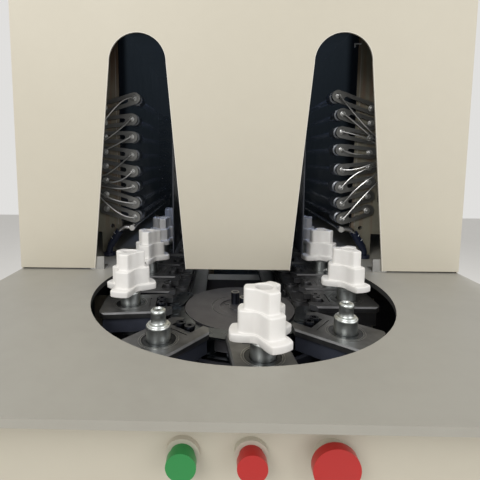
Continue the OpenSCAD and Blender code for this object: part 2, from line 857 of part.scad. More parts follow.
module sprocket() {
  plate_half = inner_gap - 0.6;
  boss_r = chord_r - link_r - 1.5;
  top = chain_mid + pin_half - 1;
  difference() {
    union() {
      rod_z(pitch_r, chain_mid - plate_half, chain_mid + plate_half, $fn = 96);
      rod_z(boss_r, chain_mid, top);
      rod_z(26, chain_mid - plate_half - 0.4, chain_mid);
      rod_z(shaft_r, bed_top - bed_t - 40, chain_mid);
    }
    for (i = [0:teeth - 1]) rotate([0, 0, rest_phase + half_link + i * 2 * half_link - 90])
      translate([pitch_r, 0, 0]) rod_z(roller_r + 0.5, chain_mid - roller_l, chain_mid + roller_l);
    difference() {
      rod_z(42, top - 1.2, top + 1);
      rod_z(40.6, top - 2, top + 2);
    }
    difference() {
      rod_z(30, top - 2, top + 1);
      rod_z(shaft_r, top - 3, top + 2);
    }
    for (a = [30:120:270]) rotate([0, 0, a]) translate([18, -2, top - 4]) cube([10, 4, 6]);
  }
}

module front_sprocket() {
  color([0.31, 0.31, 0.32]) on_plates() sprocket();
}

module rear_sprocket() {
  color([0.31, 0.31, 0.32]) on_plates() translate([0, straight_l, 0]) rotate([0, 0, 180]) sprocket();
}

// An inner link carries one carrier; its side plate has a tab that meets the carrier block
module inner_link() {
  h = chain_pitch / 2;
  translate([0, 0, chain_mid]) difference() {
    union() {
      for (z = [inner_gap, -inner_gap - link_t]) translate([0, 0, z]) linear_extrude(link_t)
        rotate(90) stadium(link_r, -h, h);
      translate([0, -14, inner_gap]) cube([block_in, 28, link_t]);
      for (y = [-h, h]) translate([0, y, 0]) rod_z(roller_r, -inner_gap - eps, inner_gap + eps);
    }
    for (y = [-h, h]) translate([0, y, 0]) rod_z(pin_r + 0.3, -2 * roller_l, 2 * roller_l);
  }
}

// An outer link joins two inner links; an open end has no pin
module outer_link(pins) {
  h = chain_pitch / 2;
  translate([0, 0, chain_mid]) {
    for (z = [outer_gap, -outer_gap - link_t]) translate([0, 0, z]) linear_extrude(link_t)
      rotate(90) stadium(link_r, -h, h);
    for (y = pins) translate([0, y * h, 0]) rod_z(pin_r, -pin_half, pin_half);
  }
}

module plate_shape() {
  corner = 10;
  translate([0, 0, -plate_t]) linear_extrude(plate_t) difference() {
    union() {
      translate([plate_in + corner, -plate_w / 2])
        square([plate_out - plate_in - corner - 8, plate_w]);
      translate([plate_in, -plate_w / 2 + corner]) square([plate_out - plate_in, plate_w - 2 * corner]);
      polygon([[plate_in, plate_w / 2 - corner], [plate_in + corner, plate_w / 2],
               [plate_in + corner, -plate_w / 2], [plate_in, -plate_w / 2 + corner]]);
      for (s = [-1, 1]) translate([plate_out - corner, s * (plate_w / 2 - corner)]) circle(r = corner);
    }
    translate([plate_in - 1, -notch_w / 2]) square([notch_l + 1, notch_w]);
    translate([spindle_offset, 0]) circle(r = spindle_r + 2);
  }
}

// The bevel runs along both long edges; two grooves ring the bearing
module carrier_plate() {
  difference() {
    intersection() {
      plate_shape();
      rotate([90, 0, 90]) linear_extrude(plate_out + 1) polygon([
        [-plate_w / 2, -plate_t - 1], [plate_w / 2, -plate_t - 1], [plate_w / 2, -plate_bevel],
        [plate_w / 2 - plate_bevel, 0], [plate_bevel - plate_w / 2, 0], [-plate_w / 2, -plate_bevel]
      ]);
    }
    for (r = [ring_r, ring_in_r]) translate([spindle_offset, 0, 0]) difference() {
      rod_z(r, -1, 1);
      rod_z(r - 1.1, -2, 2);
    }
    translate([plate_in + notch_l + 7, -18, -1.5]) cube([2, 36, 3]);
  }
}

// The block carries the spindle's bearing; a boss spaces it from the plate
module carrier_block() {
  difference() {
    union() {
      box([block_in, block_out], [-block_w / 2, block_w / 2], [block_low, block_top]);
      translate([spindle_offset, 0, 0]) rod_z(spindle_r + 6, block_top - eps, -plate_t);
    }
    translate([spindle_offset, 0, 0]) {
      rod_z(journal_r + run_gap, block_low - 1, 0);
      rod_z(spindle_r + 1, block_top - 3, 1);
    }
  }
}

module cap_screw() {
  difference() {
    rod_z(screw_r, 0, screw_h);
    translate([0, 0, screw_h - 5]) cylinder(r = 3.5, h = 6, $fn = 6);
  }
}

module carrier_screws() {
  for (s = [-1, 1]) translate([screw_x, s * screw_step / 2, block_top]) cap_screw();
}

// The turned spindle, with its shoulder, neck and tip, and the wheel that spins it
module spindle() {
  bore = 3.5;
  rotate_extrude() polygon([
    [bore, wheel_low - 3], [journal_r - 1, wheel_low - 3], [journal_r - 1, wheel_low],
    [wheel_r, wheel_low], [wheel_r, wheel_low + wheel_t], [journal_r + 2, wheel_low + wheel_t],
    [journal_r + 2, block_low - 0.5], [journal_r, block_low - 0.5], [journal_r, block_top - 2.5],
    [spindle_r, block_top - 2.5], [spindle_r, shoulder_h - 5],
    [spindle_r + 1, shoulder_h - 4], [spindle_r + 1, shoulder_h - 3], [spindle_r - 3, shoulder_h],
    [neck_r, shoulder_h], [neck_r, spindle_h - 7], [tip_r, spindle_h - 6],
    [tip_r, spindle_h - 2], [tip_r - 1.8, spindle_h], [5, spindle_h], [bore, spindle_h - 2]
  ]);
}

// Three straight arms that end on one circle, joined by a round core
module arms(reach, half) {
  intersection() {
    circle(r = reach);
    for (a = [0, arm_angle_2, arm_angle_3]) rotate(a) translate([0, -half]) square([reach + 1, 2 * half]);
  }
  circle(r = core_r);
}

// The stepped three-armed cap stands on the spindle's shoulder
module cap(turn) {
  rotate([0, 0, turn]) difference() {
    union() {
      translate([0, 0, shoulder_h]) linear_extrude(foot_t) arms(foot_reach, foot_half);
      translate([0, 0, shoulder_h]) linear_extrude(mid_top - shoulder_h) arms(mid_reach, mid_half);
      translate([0, 0, shoulder_h]) linear_extrude(cap_top - shoulder_h) arms(top_reach, top_half);
    }
    rod_z(tip_r + 0.3, 0, cap_top + 1);
  }
}

module front_plates() {
  color([0.28, 0.28, 0.28]) on_plates() for (k = [-2:1]) at_front(rest_phase + k * step_angle) carrier_plate();
}

module front_blocks() {
  color([0.2, 0.21, 0.24]) on_plates() for (k = [-2:1]) at_front(rest_phase + k * step_angle) carrier_block();
}

// Socket screws of the front carriers, and the two that clamp the sprocket's hub
module front_screws() {
  color([0.12, 0.12, 0.13]) on_plates() {
    for (k = [-2:1]) at_front(rest_phase + k * step_angle) carrier_screws();
    for (s = [-1, 1]) translate([-6 * s, 11 * s, chain_mid + pin_half - 1]) rod_z(6.5, 0, 18);
  }
}

module turn_links() {
  for (k = [0:turn_carriers - 1]) rotate([0, 0, k * step_angle]) translate([chord_r, 0, 0]) inner_link();
  for (k = [-1:turn_carriers - 1]) rotate([0, 0, (k + 0.5) * step_angle]) translate([chord_r, 0, 0])
    outer_link(k == -1 ? [1] : k == turn_carriers - 1 ? [-1] : [-1, 1]);
}

module front_chain() {
  color([0.25, 0.25, 0.26]) on_plates() rotate([0, 0, rest_phase - 2 * step_angle - 90]) turn_links();
}

module front_spindle(k) {
  color([0.5, 0.52, 0.5]) on_plates() at_front(rest_phase + k * step_angle)
    translate([spindle_offset, 0, 0]) spindle();
}

module spindle_1() { front_spindle(-2); }
module spindle_2() { front_spindle(-1); }
module spindle_3() { front_spindle(0); }
module spindle_4() { front_spindle(1); }

// A cap keeps its own turn on its spindle, given from the machine's right
module cap_left() {
  k = -2;
  color([0.86, 0.85, 0.83]) on_plates() at_front(rest_phase + k * step_angle)
    translate([spindle_offset, 0, 0]) cap(257 - (rest_phase + k * step_angle - 90));
}

module cap_front() {
  color([0.86, 0.85, 0.83]) on_plates() at_front(rest_phase)
    translate([spindle_offset, 0, 0]) cap(46 - (rest_phase - 90));
}

// One straight run: carriers, links between them, and their screws
module run_carrier() {
  carrier_plate();
  carrier_block();
  carrier_screws();
  inner_link();
}

module right_carriers() {
  color([0.24, 0.24, 0.25]) on_plates() {
    for (j = [0:straight_carriers - 1]) at_right(right_first + j * carrier_pitch) run_carrier();
    for (j = [0:straight_carriers - 2]) at_right(right_first + (j + 0.5) * carrier_pitch) outer_link([-1, 1]);
  }
}

module left_carriers() {
  color([0.24, 0.24, 0.25]) on_plates() {
    for (j = [0:straight_carriers - 1]) at_left(left_first + j * carrier_pitch) run_carrier();
    for (j = [0:straight_carriers - 2]) at_left(left_first + (j + 0.5) * carrier_pitch) outer_link([-1, 1]);
  }
}

module right_spindles() {
  color([0.5, 0.52, 0.5]) on_plates() for (j = [0:straight_carriers - 1])
    at_right(right_first + j * carrier_pitch) translate([spindle_offset, 0, 0]) spindle();
}

module left_spindles() {
  color([0.5, 0.52, 0.5]) on_plates() for (j = [0:straight_carriers - 1])
    at_left(left_first + j * carrier_pitch) translate([spindle_offset, 0, 0]) spindle();
}

// Caps stand on every second spindle of the straights
module right_caps() {
  turns = [165, 190, 40, 150];
  color([0.8, 0.8, 0.79]) on_plates() for (j = [0:3])
    at_right(right_first + 2 * j * carrier_pitch) translate([spindle_offset, 0, 0]) cap(turns[j]);
}

module left_caps() {
  turns = [77, 100, 60, 170];
  color([0.8, 0.8, 0.79]) on_plates() for (j = [0:3])
    at_left(left_first + (2 * j + 1) * carrier_pitch) translate([spindle_offset, 0, 0]) cap(turns[j]);
}

module rear_carriers() {
  color([0.24, 0.24, 0.25]) on_plates() {
    for (k = [0:turn_carriers - 1]) at_rear(rest_phase + k * step_angle) {
      carrier_plate();
      carrier_block();
      carrier_screws();
    }
    translate([0, straight_l, 0]) rotate([0, 0, rest_phase]) turn_links();
  }
}

module rear_spindles() {
  color([0.5, 0.52, 0.5]) on_plates() for (k = [0:turn_carriers - 1])
    at_rear(rest_phase + k * step_angle) translate([spindle_offset, 0, 0]) spindle();
}

// Blowing station

module at_station() {
  on_table() translate([0, station_y, 0]) children();
}

module clamp_end_plates() {
  color([0.3, 0.31, 0.33]) at_station() both_sides()
    box([end_x, end_x + end_t], [-end_w / 2, end_w / 2], [0, end_h]);
}

module tie_bars() {
  color([0.75, 0.75, 0.76]) at_station() for (y = [-tie_dy, tie_dy], z = [tie_z1, tie_z2])
    translate([0, y, z]) rod_x(tie_r, -end_x, end_x);
}

// Two clamp cylinders and the stretch cylinder, each with its bore
module air_cylinders() {
  color([0.7, 0.71, 0.72]) at_station() {
    both_sides() translate([0, 0, clamp_z]) difference() {
      rod_x(clamp_cyl_r, cyl_x, end_x);
      rod_x(clamp_rod_r + run_gap, cyl_x - 1, end_x - 6);
    }
    difference() {
      rod_z(stretch_cyl_r, bridge_top, bridge_top + stretch_cyl_h);
      rod_z(7 + run_gap, bridge_top + 8, bridge_top + stretch_cyl_h + 1);
    }
    for (s = [-1, 1]) translate([s * guide_x, 0, 0]) difference() {
      rod_z(14, bridge_top, cross_plate_z - nozzle_stroke - 1);
      rod_z(5 + run_gap, bridge_top - 1, cross_plate_z);
    }
  }
}

module platen() {
  difference() {
    union() {
      box([platen_x, platen_x + platen_t], [-mould_w / 2, mould_w / 2], [tie_z1 - 18, tie_z2 + 18]);
      translate([0, 0, clamp_z]) rod_x(clamp_rod_r, platen_x + platen_t - eps, end_x - 15);
    }
    for (y = [-tie_dy, tie_dy], z = [tie_z1, tie_z2]) translate([0, y, z])
      rod_x(tie_r + run_gap, platen_x - 1, platen_x + platen_t + 1);
  }
}

// A mould half, with half of each of the two bottle cavities and their necks
module mould_half() {
  foot = mould_low + 14;
  top = mould_low + mould_h;
  waist = mould_low + 0.41 * mould_h;
  difference() {
    box([mould_open, platen_x], [-mould_w / 2, mould_w / 2], [mould_low, top]);
    for (s = [-1, 1]) translate([mould_open, s * cavity_step / 2, 0]) rotate_extrude() polygon([
      [0, foot + 5], [cavity_r - 8, foot], [cavity_r - 2, foot + 3], [cavity_r, foot + 10],
      [cavity_r, waist - 8], [cavity_r - 3, waist], [cavity_r, waist + 8],
      [cavity_r, waist + 0.22 * mould_h], [cavity_r - 6, waist + 0.32 * mould_h], [12, top - 26], [11, top - 20],
      [11, top + 1], [0, top + 1]
    ]);
    for (y = [-tie_dy, tie_dy], z = [tie_z1, tie_z2]) translate([0, y, z])
      rod_x(tie_r + 2, mould_open - 1, platen_x + 1);
  }
}

module right_platen() { color([0.36, 0.37, 0.39]) at_station() platen(); }
module left_platen() { color([0.36, 0.37, 0.39]) at_station() mirror([1, 0, 0]) platen(); }
module right_mould() { color([0.72, 0.73, 0.74]) at_station() mould_half(); }
module left_mould() { color([0.72, 0.73, 0.74]) at_station() mirror([1, 0, 0]) mould_half(); }

module nozzle_bridge() {
  color([0.3, 0.31, 0.33]) at_station() difference() {
    box([-end_x - end_t, end_x + end_t], [-bridge_half, bridge_half], [end_h, bridge_top]);
    for (s = [-1, 1]) {
      translate([0, s * cavity_step / 2, 0]) rod_z(nozzle_r + run_gap, end_h - 1, bridge_top + 1);
      translate([s * guide_x, 0, 0]) rod_z(6, end_h - 1, bridge_top + 1);
    }
  }
}

// Two nozzles on a cross plate that slides down over the moulds
module blow_nozzles() {
  color([0.72, 0.72, 0.72]) at_station() difference() {
    union() {
      for (s = [-1, 1]) {
        translate([0, s * cavity_step / 2, 0]) rod_z(nozzle_r, nozzle_low, cross_plate_z + eps);
        translate([s * guide_x, 0, 0]) rod_z(5, end_h + 1 + nozzle_stroke, cross_plate_z + eps);
      }
      box([-64, 64], [-58, 58], [cross_plate_z, cross_plate_z + cross_plate_t]);
    }
    for (s = [-1, 1]) translate([0, s * cavity_step / 2, 0])
      rod_z(stretch_r + run_gap, nozzle_low - 1, cross_plate_z + cross_plate_t + 1);
    rod_z(stretch_cyl_r + 1.5, cross_plate_z - 1, cross_plate_z + cross_plate_t + 1);
  }
}

module stretch_rods() {
  color([0.75, 0.75, 0.76]) at_station() {
    box([-22, 22], [-52, 52], [stretch_head_z, stretch_head_z + 14]);
    for (s = [-1, 1]) translate([0, s * cavity_step / 2, 0])
      rod_z(stretch_r, nozzle_low + nozzle_stroke + 4, stretch_head_z + eps);
    rod_z(7, bridge_top + stretch_stroke + 10, stretch_head_z + eps);
  }
}

// Side sheets, roof and partition of the rear bay, folded and welded as one box
module bay_cover() {
  color([0.81, 0.77, 0.71]) on_table() difference() {
    union() {
      for (s = [-1, 1]) {
        box([s * (body_w / 2 - sheet_t / 2) - sheet_t / 2, s * (body_w / 2 - sheet_t / 2) + sheet_t / 2],
            [bay_y, rear_y], [0, bay_h]);
      }
      box([-body_w / 2, body_w / 2], [bay_y, rear_y], [bay_h - sheet_t, bay_h]);
      box([-body_w / 2, body_w / 2], [bay_y, bay_y + sheet_t], [0, bay_h]);
    }
    box([-150, 150], [bay_y - 1, bay_y + sheet_t + 1], [60, 260]);
    translate([guard_x, guard_y + guard_t / 2, 0]) rod_z(door_pin_r + run_gap, bay_h - 10, bay_h + 1);
  }
}

// Clear guard door on two pivot pins, with a bow handle
module guard_door() {
  x2 = body_w / 2 - sheet_t - 4;
  color([0.75, 0.8, 0.82, 0.5]) on_table() {
    box([guard_x - 5, x2], [guard_y, guard_y + guard_t], [3, bay_h - sheet_t - 3]);
    translate([guard_x, guard_y + guard_t / 2, 0]) {
      rod_z(door_pin_r, -table_t + 2.5, 4);
      rod_z(door_pin_r, bay_h - sheet_t - 4, bay_h);
    }
    translate([x2 - 40, 0, 0]) {
      for (z = [260, 360]) translate([0, 0, z]) rod_y(5, guard_y + guard_t - eps, guard_y + guard_t + 20);
      translate([0, guard_y + guard_t + 20, 0]) rod_z(6, 252, 368);
    }
  }
}

base_frame();
levelling_feet();
table_plate();
front_cover();
side_covers();
roof_cover();
lower_panels();
control_apron();
slot_brackets();
lamp_posts();
lamp_arms();
lamp_holders();
quartz_lamps();
lamp_screws();
lamp_wires();
terminal_strips();
reflectors();
oven_walls();
cooling_hoses();
guide_rods();
conveyor_bed();
bearing_housings();
gear_motor();
clamp_end_plates();
tie_bars();
air_cylinders();
nozzle_bridge();
bay_cover();
lower_door();
door_handle();
guard_door();
start_button();
stop_button();
emergency_stop();
front_sprocket();
front_plates();
front_blocks();
front_screws();
front_chain();
spindle_1();
spindle_2();
spindle_3();
spindle_4();
cap_left();
cap_front();
left_carriers();
left_spindles();
left_caps();
right_carriers();
right_spindles();
right_caps();
rear_sprocket();
rear_carriers();
rear_spindles();
left_platen();
left_mould();
right_platen();
right_mould();
blow_nozzles();
stretch_rods();
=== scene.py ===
"""Looks of the blow moulding machine: finishes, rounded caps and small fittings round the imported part."""

import logging
import math
from dataclasses import dataclass, field
from enum import Enum

import bpy
import numpy as np
from mathutils import Matrix, Vector


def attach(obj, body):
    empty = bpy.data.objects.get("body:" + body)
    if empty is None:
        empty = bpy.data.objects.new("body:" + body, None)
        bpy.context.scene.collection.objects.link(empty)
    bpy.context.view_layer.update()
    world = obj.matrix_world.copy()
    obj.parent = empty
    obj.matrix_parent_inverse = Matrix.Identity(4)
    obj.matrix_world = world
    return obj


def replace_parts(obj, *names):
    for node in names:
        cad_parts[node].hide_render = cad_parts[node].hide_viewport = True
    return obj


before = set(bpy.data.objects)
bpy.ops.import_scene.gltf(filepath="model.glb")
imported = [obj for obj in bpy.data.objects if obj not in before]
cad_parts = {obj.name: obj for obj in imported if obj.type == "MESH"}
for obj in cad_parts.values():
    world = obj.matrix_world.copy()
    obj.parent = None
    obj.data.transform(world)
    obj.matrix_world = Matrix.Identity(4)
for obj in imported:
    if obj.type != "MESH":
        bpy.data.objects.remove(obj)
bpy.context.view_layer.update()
LOG = logging.getLogger("blow_moulding_machine")

Color = tuple[float, float, float]
Point = tuple[float, float, float]
Shape = tuple[np.ndarray, list[list[int]]]
Tree = bpy.types.NodeTree
Socket = bpy.types.NodeSocket
Outputs = bpy.types.NodeOutputs
Material = bpy.types.Material
Feed = Socket | float | tuple

# The chain and its carriers, in metres; a link turns twice its half turn round the sprocket
CHAIN_PITCH = 0.0381
CARRIER_PITCH = 2 * CHAIN_PITCH
LINK_HALF_TURN = math.radians(11.25)
PITCH_R = CHAIN_PITCH / (2 * math.sin(LINK_HALF_TURN))
CHORD_R = PITCH_R * math.cos(LINK_HALF_TURN)
SPINDLE_OFFSET = 0.06735
# Turn of the front sprocket from one carrier to the next, and the chain's place at rest, in degrees
CARRIER_TURN = 45
REST_PHASE = 6.5

# The front sprocket's axis, the table's top and the carrier plates' top under it, in metres
FRONT_Y = -0.3848
TABLE_Z = 0.9
PLATE_DROP = 0.019
PLATE_Z = TABLE_Z - PLATE_DROP

# Heights on a carrier from its plate's top, in millimetres
BLOCK_TOP = -10
BLOCK_LOW = -30
WHEEL_LOW = -42
HUB_SCREW_TOP = 8

# Places in the ovens from the front sprocket's axis at the table's top, in millimetres
COVER_Y = 82.0
LAMP_Y = 200.0
LAMP_X = 207
LAMP_LOW = 75.5
LAMP_STEP = 34.5
# How far each lamp head of an oven stands outwards and up from its row, from the bottom row up
LAMPS_RIGHT = ((7, 0), (5.5, -4), (1.5, -6), (3.5, -5), (0, 0), (0, 0), (0.5, 0.5), (-10, 0.5))
LAMPS_LEFT = ((-1.5, 0), (-1, -6), (2, -8), (1, -11), (2.5, -13), (2, -11.5), (1.5, -11), (-4.5, -5))

MM = 0.001
BASE = "frame"

# Painted shade and painted light in the ovens: the navy that parts behind the front lamp arms are
# mixed towards, the painted glow they give off, and how far behind the front lamp arms the shade
# starts and is whole, in millimetres
NAVY_SHADE = (0.006, 0.0072, 0.0098)
PAINTED_GLOW = (0.0085, 0.0112, 0.0142)
DEEP_BAND = (25, 75)
# Two heights over the table, in metres, and the painted glow's strength at each
GLOW_HEIGHTS = (0.05, 0.45)
GLOW_SHARES = (0.25, 1.25)
# The heights over the table between which the painted shade at the covers' foot fades, and how far
# from the sprocket's axis the wall of the loading opening, where shade is painted, is looked for, in metres
FOOT_BAND = (-0.01, 0.11)
HOLE_REACH = 0.25
STREAK_SCALE = 90.0
# Roughness wanders this much finer than grime, by up to the swing and this share of itself
ROUGH_FINENESS = 4
ROUGH_SWING = 0.16
ROUGH_SHARE = 0.6


def grid_faces(rows: int, cols: int, wrap: bool = True, flip: bool = False) -> list[list[int]]:
    """Number the quads of a grid of points whose columns close round.

    The point in row i and column j has the number i * cols + j.

    Args:
        rows: Rows of points.
        cols: Points in a row.
        wrap: Whether the last row joins the first.
        flip: Whether the quads face the other way.

    Returns:
        The quads as lists of point numbers.
    """
    i, j = np.meshgrid(np.arange(rows if wrap else rows - 1), np.arange(cols), indexing="ij")
    low, high, right = i * cols, (i + 1) % rows * cols, (j + 1) % cols
    quads = np.stack([low + j, low + right, high + right, high + j], axis=-1).reshape(-1, 4)
    return quads[:, (0, 3, 2, 1) if flip else (0, 1, 2, 3)].tolist()


def add_object(name: str, data: bpy.types.ID) -> bpy.types.Object:
    """Make an object and link it to the scene.

    Args:
        name: Its name.
        data: Its mesh, light or camera.

    Returns:
        The new object.
    """
    obj = bpy.data.objects.new(name, data)
    bpy.context.scene.collection.objects.link(obj)
    return obj


def placed(points: np.ndarray, matrix: Matrix) -> np.ndarray:
    """Move points in metres to a place: each is turned by the matrix and then shifted."""
    full = np.array(matrix)
    return points @ full[:3, :3].T + full[:3, 3]


class Graph:
    """A node tree, with short ways to place and link its nodes.

    An input is given as a value or as the socket that feeds it.
    """

    def __init__(self, tree: Tree) -> None:
        """Keep the tree."""
        self.tree = tree

    def add(self, kind: str, inputs: dict | None = None, **settings: object) -> bpy.types.Node:
        """Place a node.

        Args:
            kind: Its type, without the leading ShaderNode.
            inputs: Input name or number to a value or a socket.
            settings: The node's own choices, such as its operation.

        Returns:
            The new node.
        """
        node = self.tree.nodes.new(f"ShaderNode{kind}")
        for name, value in settings.items():
            setattr(node, name, value)
        for key, value in (inputs or {}).items():
            if isinstance(value, Socket):
                self.tree.links.new(value, node.inputs[key])
            else:
                node.inputs[key].default_value = value
        return node

    def math(self, operation: str, *inputs: Feed, clamp: bool = False) -> Socket:
        """Work out a number from up to three inputs."""
        node = self.add("Math", dict(enumerate(inputs)), operation=operation, use_clamp=clamp)
        return node.outputs[0]

    def vector(self, operation: str, inputs: dict, output: str = "Vector") -> Socket:
        """Work out a vector, or the number that the output's name gives, from inputs."""
        return self.add("VectorMath", inputs, operation=operation).outputs[output]

    def noise(self, place: Feed, scale: Feed, detail: float) -> Socket:
        """Read a grey noise at a place."""
        inputs = {"Vector": place, "Scale": scale, "Detail": detail}
        return self.add("TexNoise", inputs).outputs["Fac"]

    def ramp(self, value: Feed, start: Feed, end: Feed, smooth: bool = False,
             to: tuple[Feed, Feed] = (0.0, 1.0)) -> Socket:
        """Map a value from one range to another.

        Args:
            value: What is mapped.
            start: The value at which the result starts.
            end: The value at which it ends.
            smooth: Whether it starts and ends softly.
            to: The result's first and last value.

        Returns:
            The result's socket.
        """
        inputs = {"Value": value, "From Min": start, "From Max": end, "To Min": to[0], "To Max": to[1]}
        kind = "SMOOTHSTEP" if smooth else "LINEAR"
        return self.add("MapRange", inputs, interpolation_type=kind).outputs["Result"]

    def use(self, group: Tree, inputs: dict) -> Outputs:
        """Place a shared group and return its outputs."""
        return self.add("Group", inputs, node_tree=group).outputs

    def mix(self, base: Feed, other: Color, mask: Feed) -> Socket:
        """Mix a colour towards another by a mask.

        Args:
            base: The colour where the mask is nothing.
            other: The colour where the mask is one.
            mask: The mask.

        Returns:
            The result's socket.
        """
        start = base if isinstance(base, Socket) else (*base, 1.0)
        inputs = {"A": start, "B": (*other, 1.0), "Factor": mask}
        return self.add("Mix", inputs, data_type="RGBA").outputs["Result"]

    def scaled(self, color: Feed, factor: Feed) -> Socket:
        """Multiply a colour by a number."""
        return self.vector("SCALE", {0: color, "Scale": factor})


class GroupGraph(Graph):
    """A shared node group while it is built."""

    def __init__(self, name: str, ins: tuple[str, ...], outs: tuple[str, ...]) -> None:
        """Start the group.

        Args:
            name: The group's name.
            ins: Names of its inputs.
            outs: Names of its outputs. Vector and Normal are vectors, and the rest are numbers.
        """
        super().__init__(bpy.data.node_groups.new(name, "ShaderNodeTree"))
        for label in ins + outs:
            way = "INPUT" if label in ins else "OUTPUT"
            kind = "NodeSocketVector" if label in ("Vector", "Normal") else "NodeSocketFloat"
            self.tree.interface.new_socket(label, in_out=way, socket_type=kind)
        self.ins = self.tree.nodes.new("NodeGroupInput").outputs
        self.outs = self.tree.nodes.new("NodeGroupOutput").inputs

    def put(self, label: str, socket: Socket) -> None:
        """Lead a socket to one of the group's outputs."""
        self.tree.links.new(socket, self.outs[label])


class ShaderKit:
    """The node groups that the finishes share."""

    FINE_GRIME_SCALE = 55.0
    # The noise over which a mask rises from nothing to one
    GRIME_BAND = (0.16, 0.42)
    STREAK_BAND = (0.45, 0.72)
    # The cosine of the turn over which an edge's mask rises
    EDGE_BAND = (0.995, 0.85)
    STREAK_STRETCH = (1.0, 1.0, 0.07)
    # The most that an upright face's normal rises or falls
    UPRIGHT_RISE = 0.5

    def __init__(self) -> None:
        """Build the groups once."""
        self.grime = self._grime()
        self.vary = self._vary()
        self.grain = self._grain()
        self.edge = self._edge()
        self.height_mask = self._height_mask()
        self.depth_mask = self._depth_mask()
        self.streak = self._streak()
        self.hole_wall = self._hole_wall()

    @staticmethod
    def _grime() -> Tree:
        """Build a soft patchy mask: a coarse noise times a fine one, sharpened.

        Returns:
            The group.
        """
        g = GroupGraph("grime_mask", ("Vector", "Scale"), ("Mask",))
        coarse = g.noise(g.ins["Vector"], g.ins["Scale"], detail=5.0)
        fine = g.noise(g.ins["Vector"], ShaderKit.FINE_GRIME_SCALE, detail=3.0)
        g.put("Mask", g.ramp(g.math("MULTIPLY", coarse, fine), *ShaderKit.GRIME_BAND))
        return g.tree

    @staticmethod
    def _vary() -> Tree:
        """Build a number that wanders round its middle: (noise - 0.5) times the spread plus the middle.

        Returns:
            The group.
        """
        g = GroupGraph("vary_value", ("Vector", "Scale", "Middle", "Spread"), ("Value",))
        centred = g.math("SUBTRACT", g.noise(g.ins["Vector"], g.ins["Scale"], detail=4.0), 0.5)
        g.put("Value", g.math("MULTIPLY_ADD", centred, g.ins["Spread"], g.ins["Middle"], clamp=True))
        return g.tree

    @staticmethod
    def _grain() -> Tree:
        """Build fine bumps from a noise.

        Returns:
            The group.
        """
        g = GroupGraph("grain_bump", ("Vector", "Scale", "Height"), ("Normal",))
        noise = g.noise(g.ins["Vector"], g.ins["Scale"], detail=2.0)
        g.put("Normal", g.add("Bump", {"Height": noise, "Distance": g.ins["Height"]}).outputs["Normal"])
        return g.tree

    @staticmethod
    def _edge() -> Tree:
        """Build a mask of edges: how far a rounded normal turns from the true one.

        Returns:
            The group.
        """
        g = GroupGraph("edge_mask", ("Radius", "Width"), ("Mask",))
        rounded = g.add("Bevel", {"Radius": g.ins["Radius"]}, samples=4).outputs["Normal"]
        true = g.add("NewGeometry").outputs["Normal"]
        cosine = g.vector("DOT_PRODUCT", {0: rounded, 1: true}, "Value")
        turned = g.ramp(cosine, *ShaderKit.EDGE_BAND)
        g.put("Mask", g.math("MULTIPLY", turned, g.ins["Width"]))
        return g.tree

    @staticmethod
    def _height_mask() -> Tree:
        """Build a mask that is one at a low height and falls to nothing at a high one.

        Returns:
            The group.
        """
        g = GroupGraph("height_mask", ("Vector", "Low", "High"), ("Mask",))
        height = g.add("SeparateXYZ", {"Vector": g.ins["Vector"]}).outputs["Z"]
        g.put("Mask", g.ramp(height, g.ins["Low"], g.ins["High"], smooth=True, to=(1.0, 0.0)))
        return g.tree

    @staticmethod
    def _depth_mask() -> Tree:
        """Build a mask of painted shade that rises to an amount with depth, and a painted glow that also
        rises with height.

        Returns:
            The group.
        """
        g = GroupGraph("depth_mask", ("Vector", "Near", "Far", "Amount"), ("Mask", "Glow"))
        split = g.add("SeparateXYZ", {"Vector": g.ins["Vector"]}).outputs
        mask = g.ramp(split["Y"], g.ins["Near"], g.ins["Far"], smooth=True, to=(0.0, g.ins["Amount"]))
        rise = g.ramp(split["Z"], *(TABLE_Z + height for height in GLOW_HEIGHTS), to=GLOW_SHARES)
        g.put("Mask", mask)
        g.put("Glow", g.math("MULTIPLY", mask, rise))
        return g.tree

    @staticmethod
    def _hole_wall() -> Tree:
        """Build a mask of upright faces that lie within a reach of the front sprocket's axis, where shade is
        painted.

        Returns:
            The group.
        """
        g = GroupGraph("hole_wall_mask", ("Vector", "Reach", "Amount"), ("Mask",))
        normal = g.add("NewGeometry").outputs["Normal"]
        lift = g.math("ABSOLUTE", g.add("SeparateXYZ", {"Vector": normal}).outputs["Z"])
        upright = g.math("LESS_THAN", lift, ShaderKit.UPRIGHT_RISE)
        away = g.vector("DISTANCE", {0: g.ins["Vector"], 1: (0.0, FRONT_Y, TABLE_Z)}, "Value")
        near = g.math("LESS_THAN", away, g.ins["Reach"])
        g.put("Mask", g.math("MULTIPLY", g.math("MULTIPLY", upright, near), g.ins["Amount"]))
        return g.tree

    @staticmethod
    def _streak() -> Tree:
        """Build upright streaks: a noise that is stretched along Z and sharpened.

        Returns:
            The group.
        """
        g = GroupGraph("streak_mask", ("Vector", "Scale"), ("Mask",))
        flat = g.vector("MULTIPLY", {0: g.ins["Vector"], 1: ShaderKit.STREAK_STRETCH})
        g.put("Mask", g.ramp(g.noise(flat, g.ins["Scale"], detail=3.0), *ShaderKit.STREAK_BAND))
        return g.tree


class Coat(Enum):
    """The kinds of surface that the finishes are built from."""

    PAINT = "paint"
    METAL = "metal"
    PLASTIC = "plastic"
    GLASS = "glass"

    def shader_inputs(self) -> dict[str, float]:
        """Look up what the kind sets on the shader.

        Returns:
            Input name to value.
        """
        return {
            Coat.PAINT: {"Coat Weight": 0.12, "Coat Roughness": 0.35},
            Coat.METAL: {"Metallic": 1.0},
            Coat.PLASTIC: {},
            Coat.GLASS: {"Transmission Weight": 0.85, "IOR": 1.46},
        }[self]


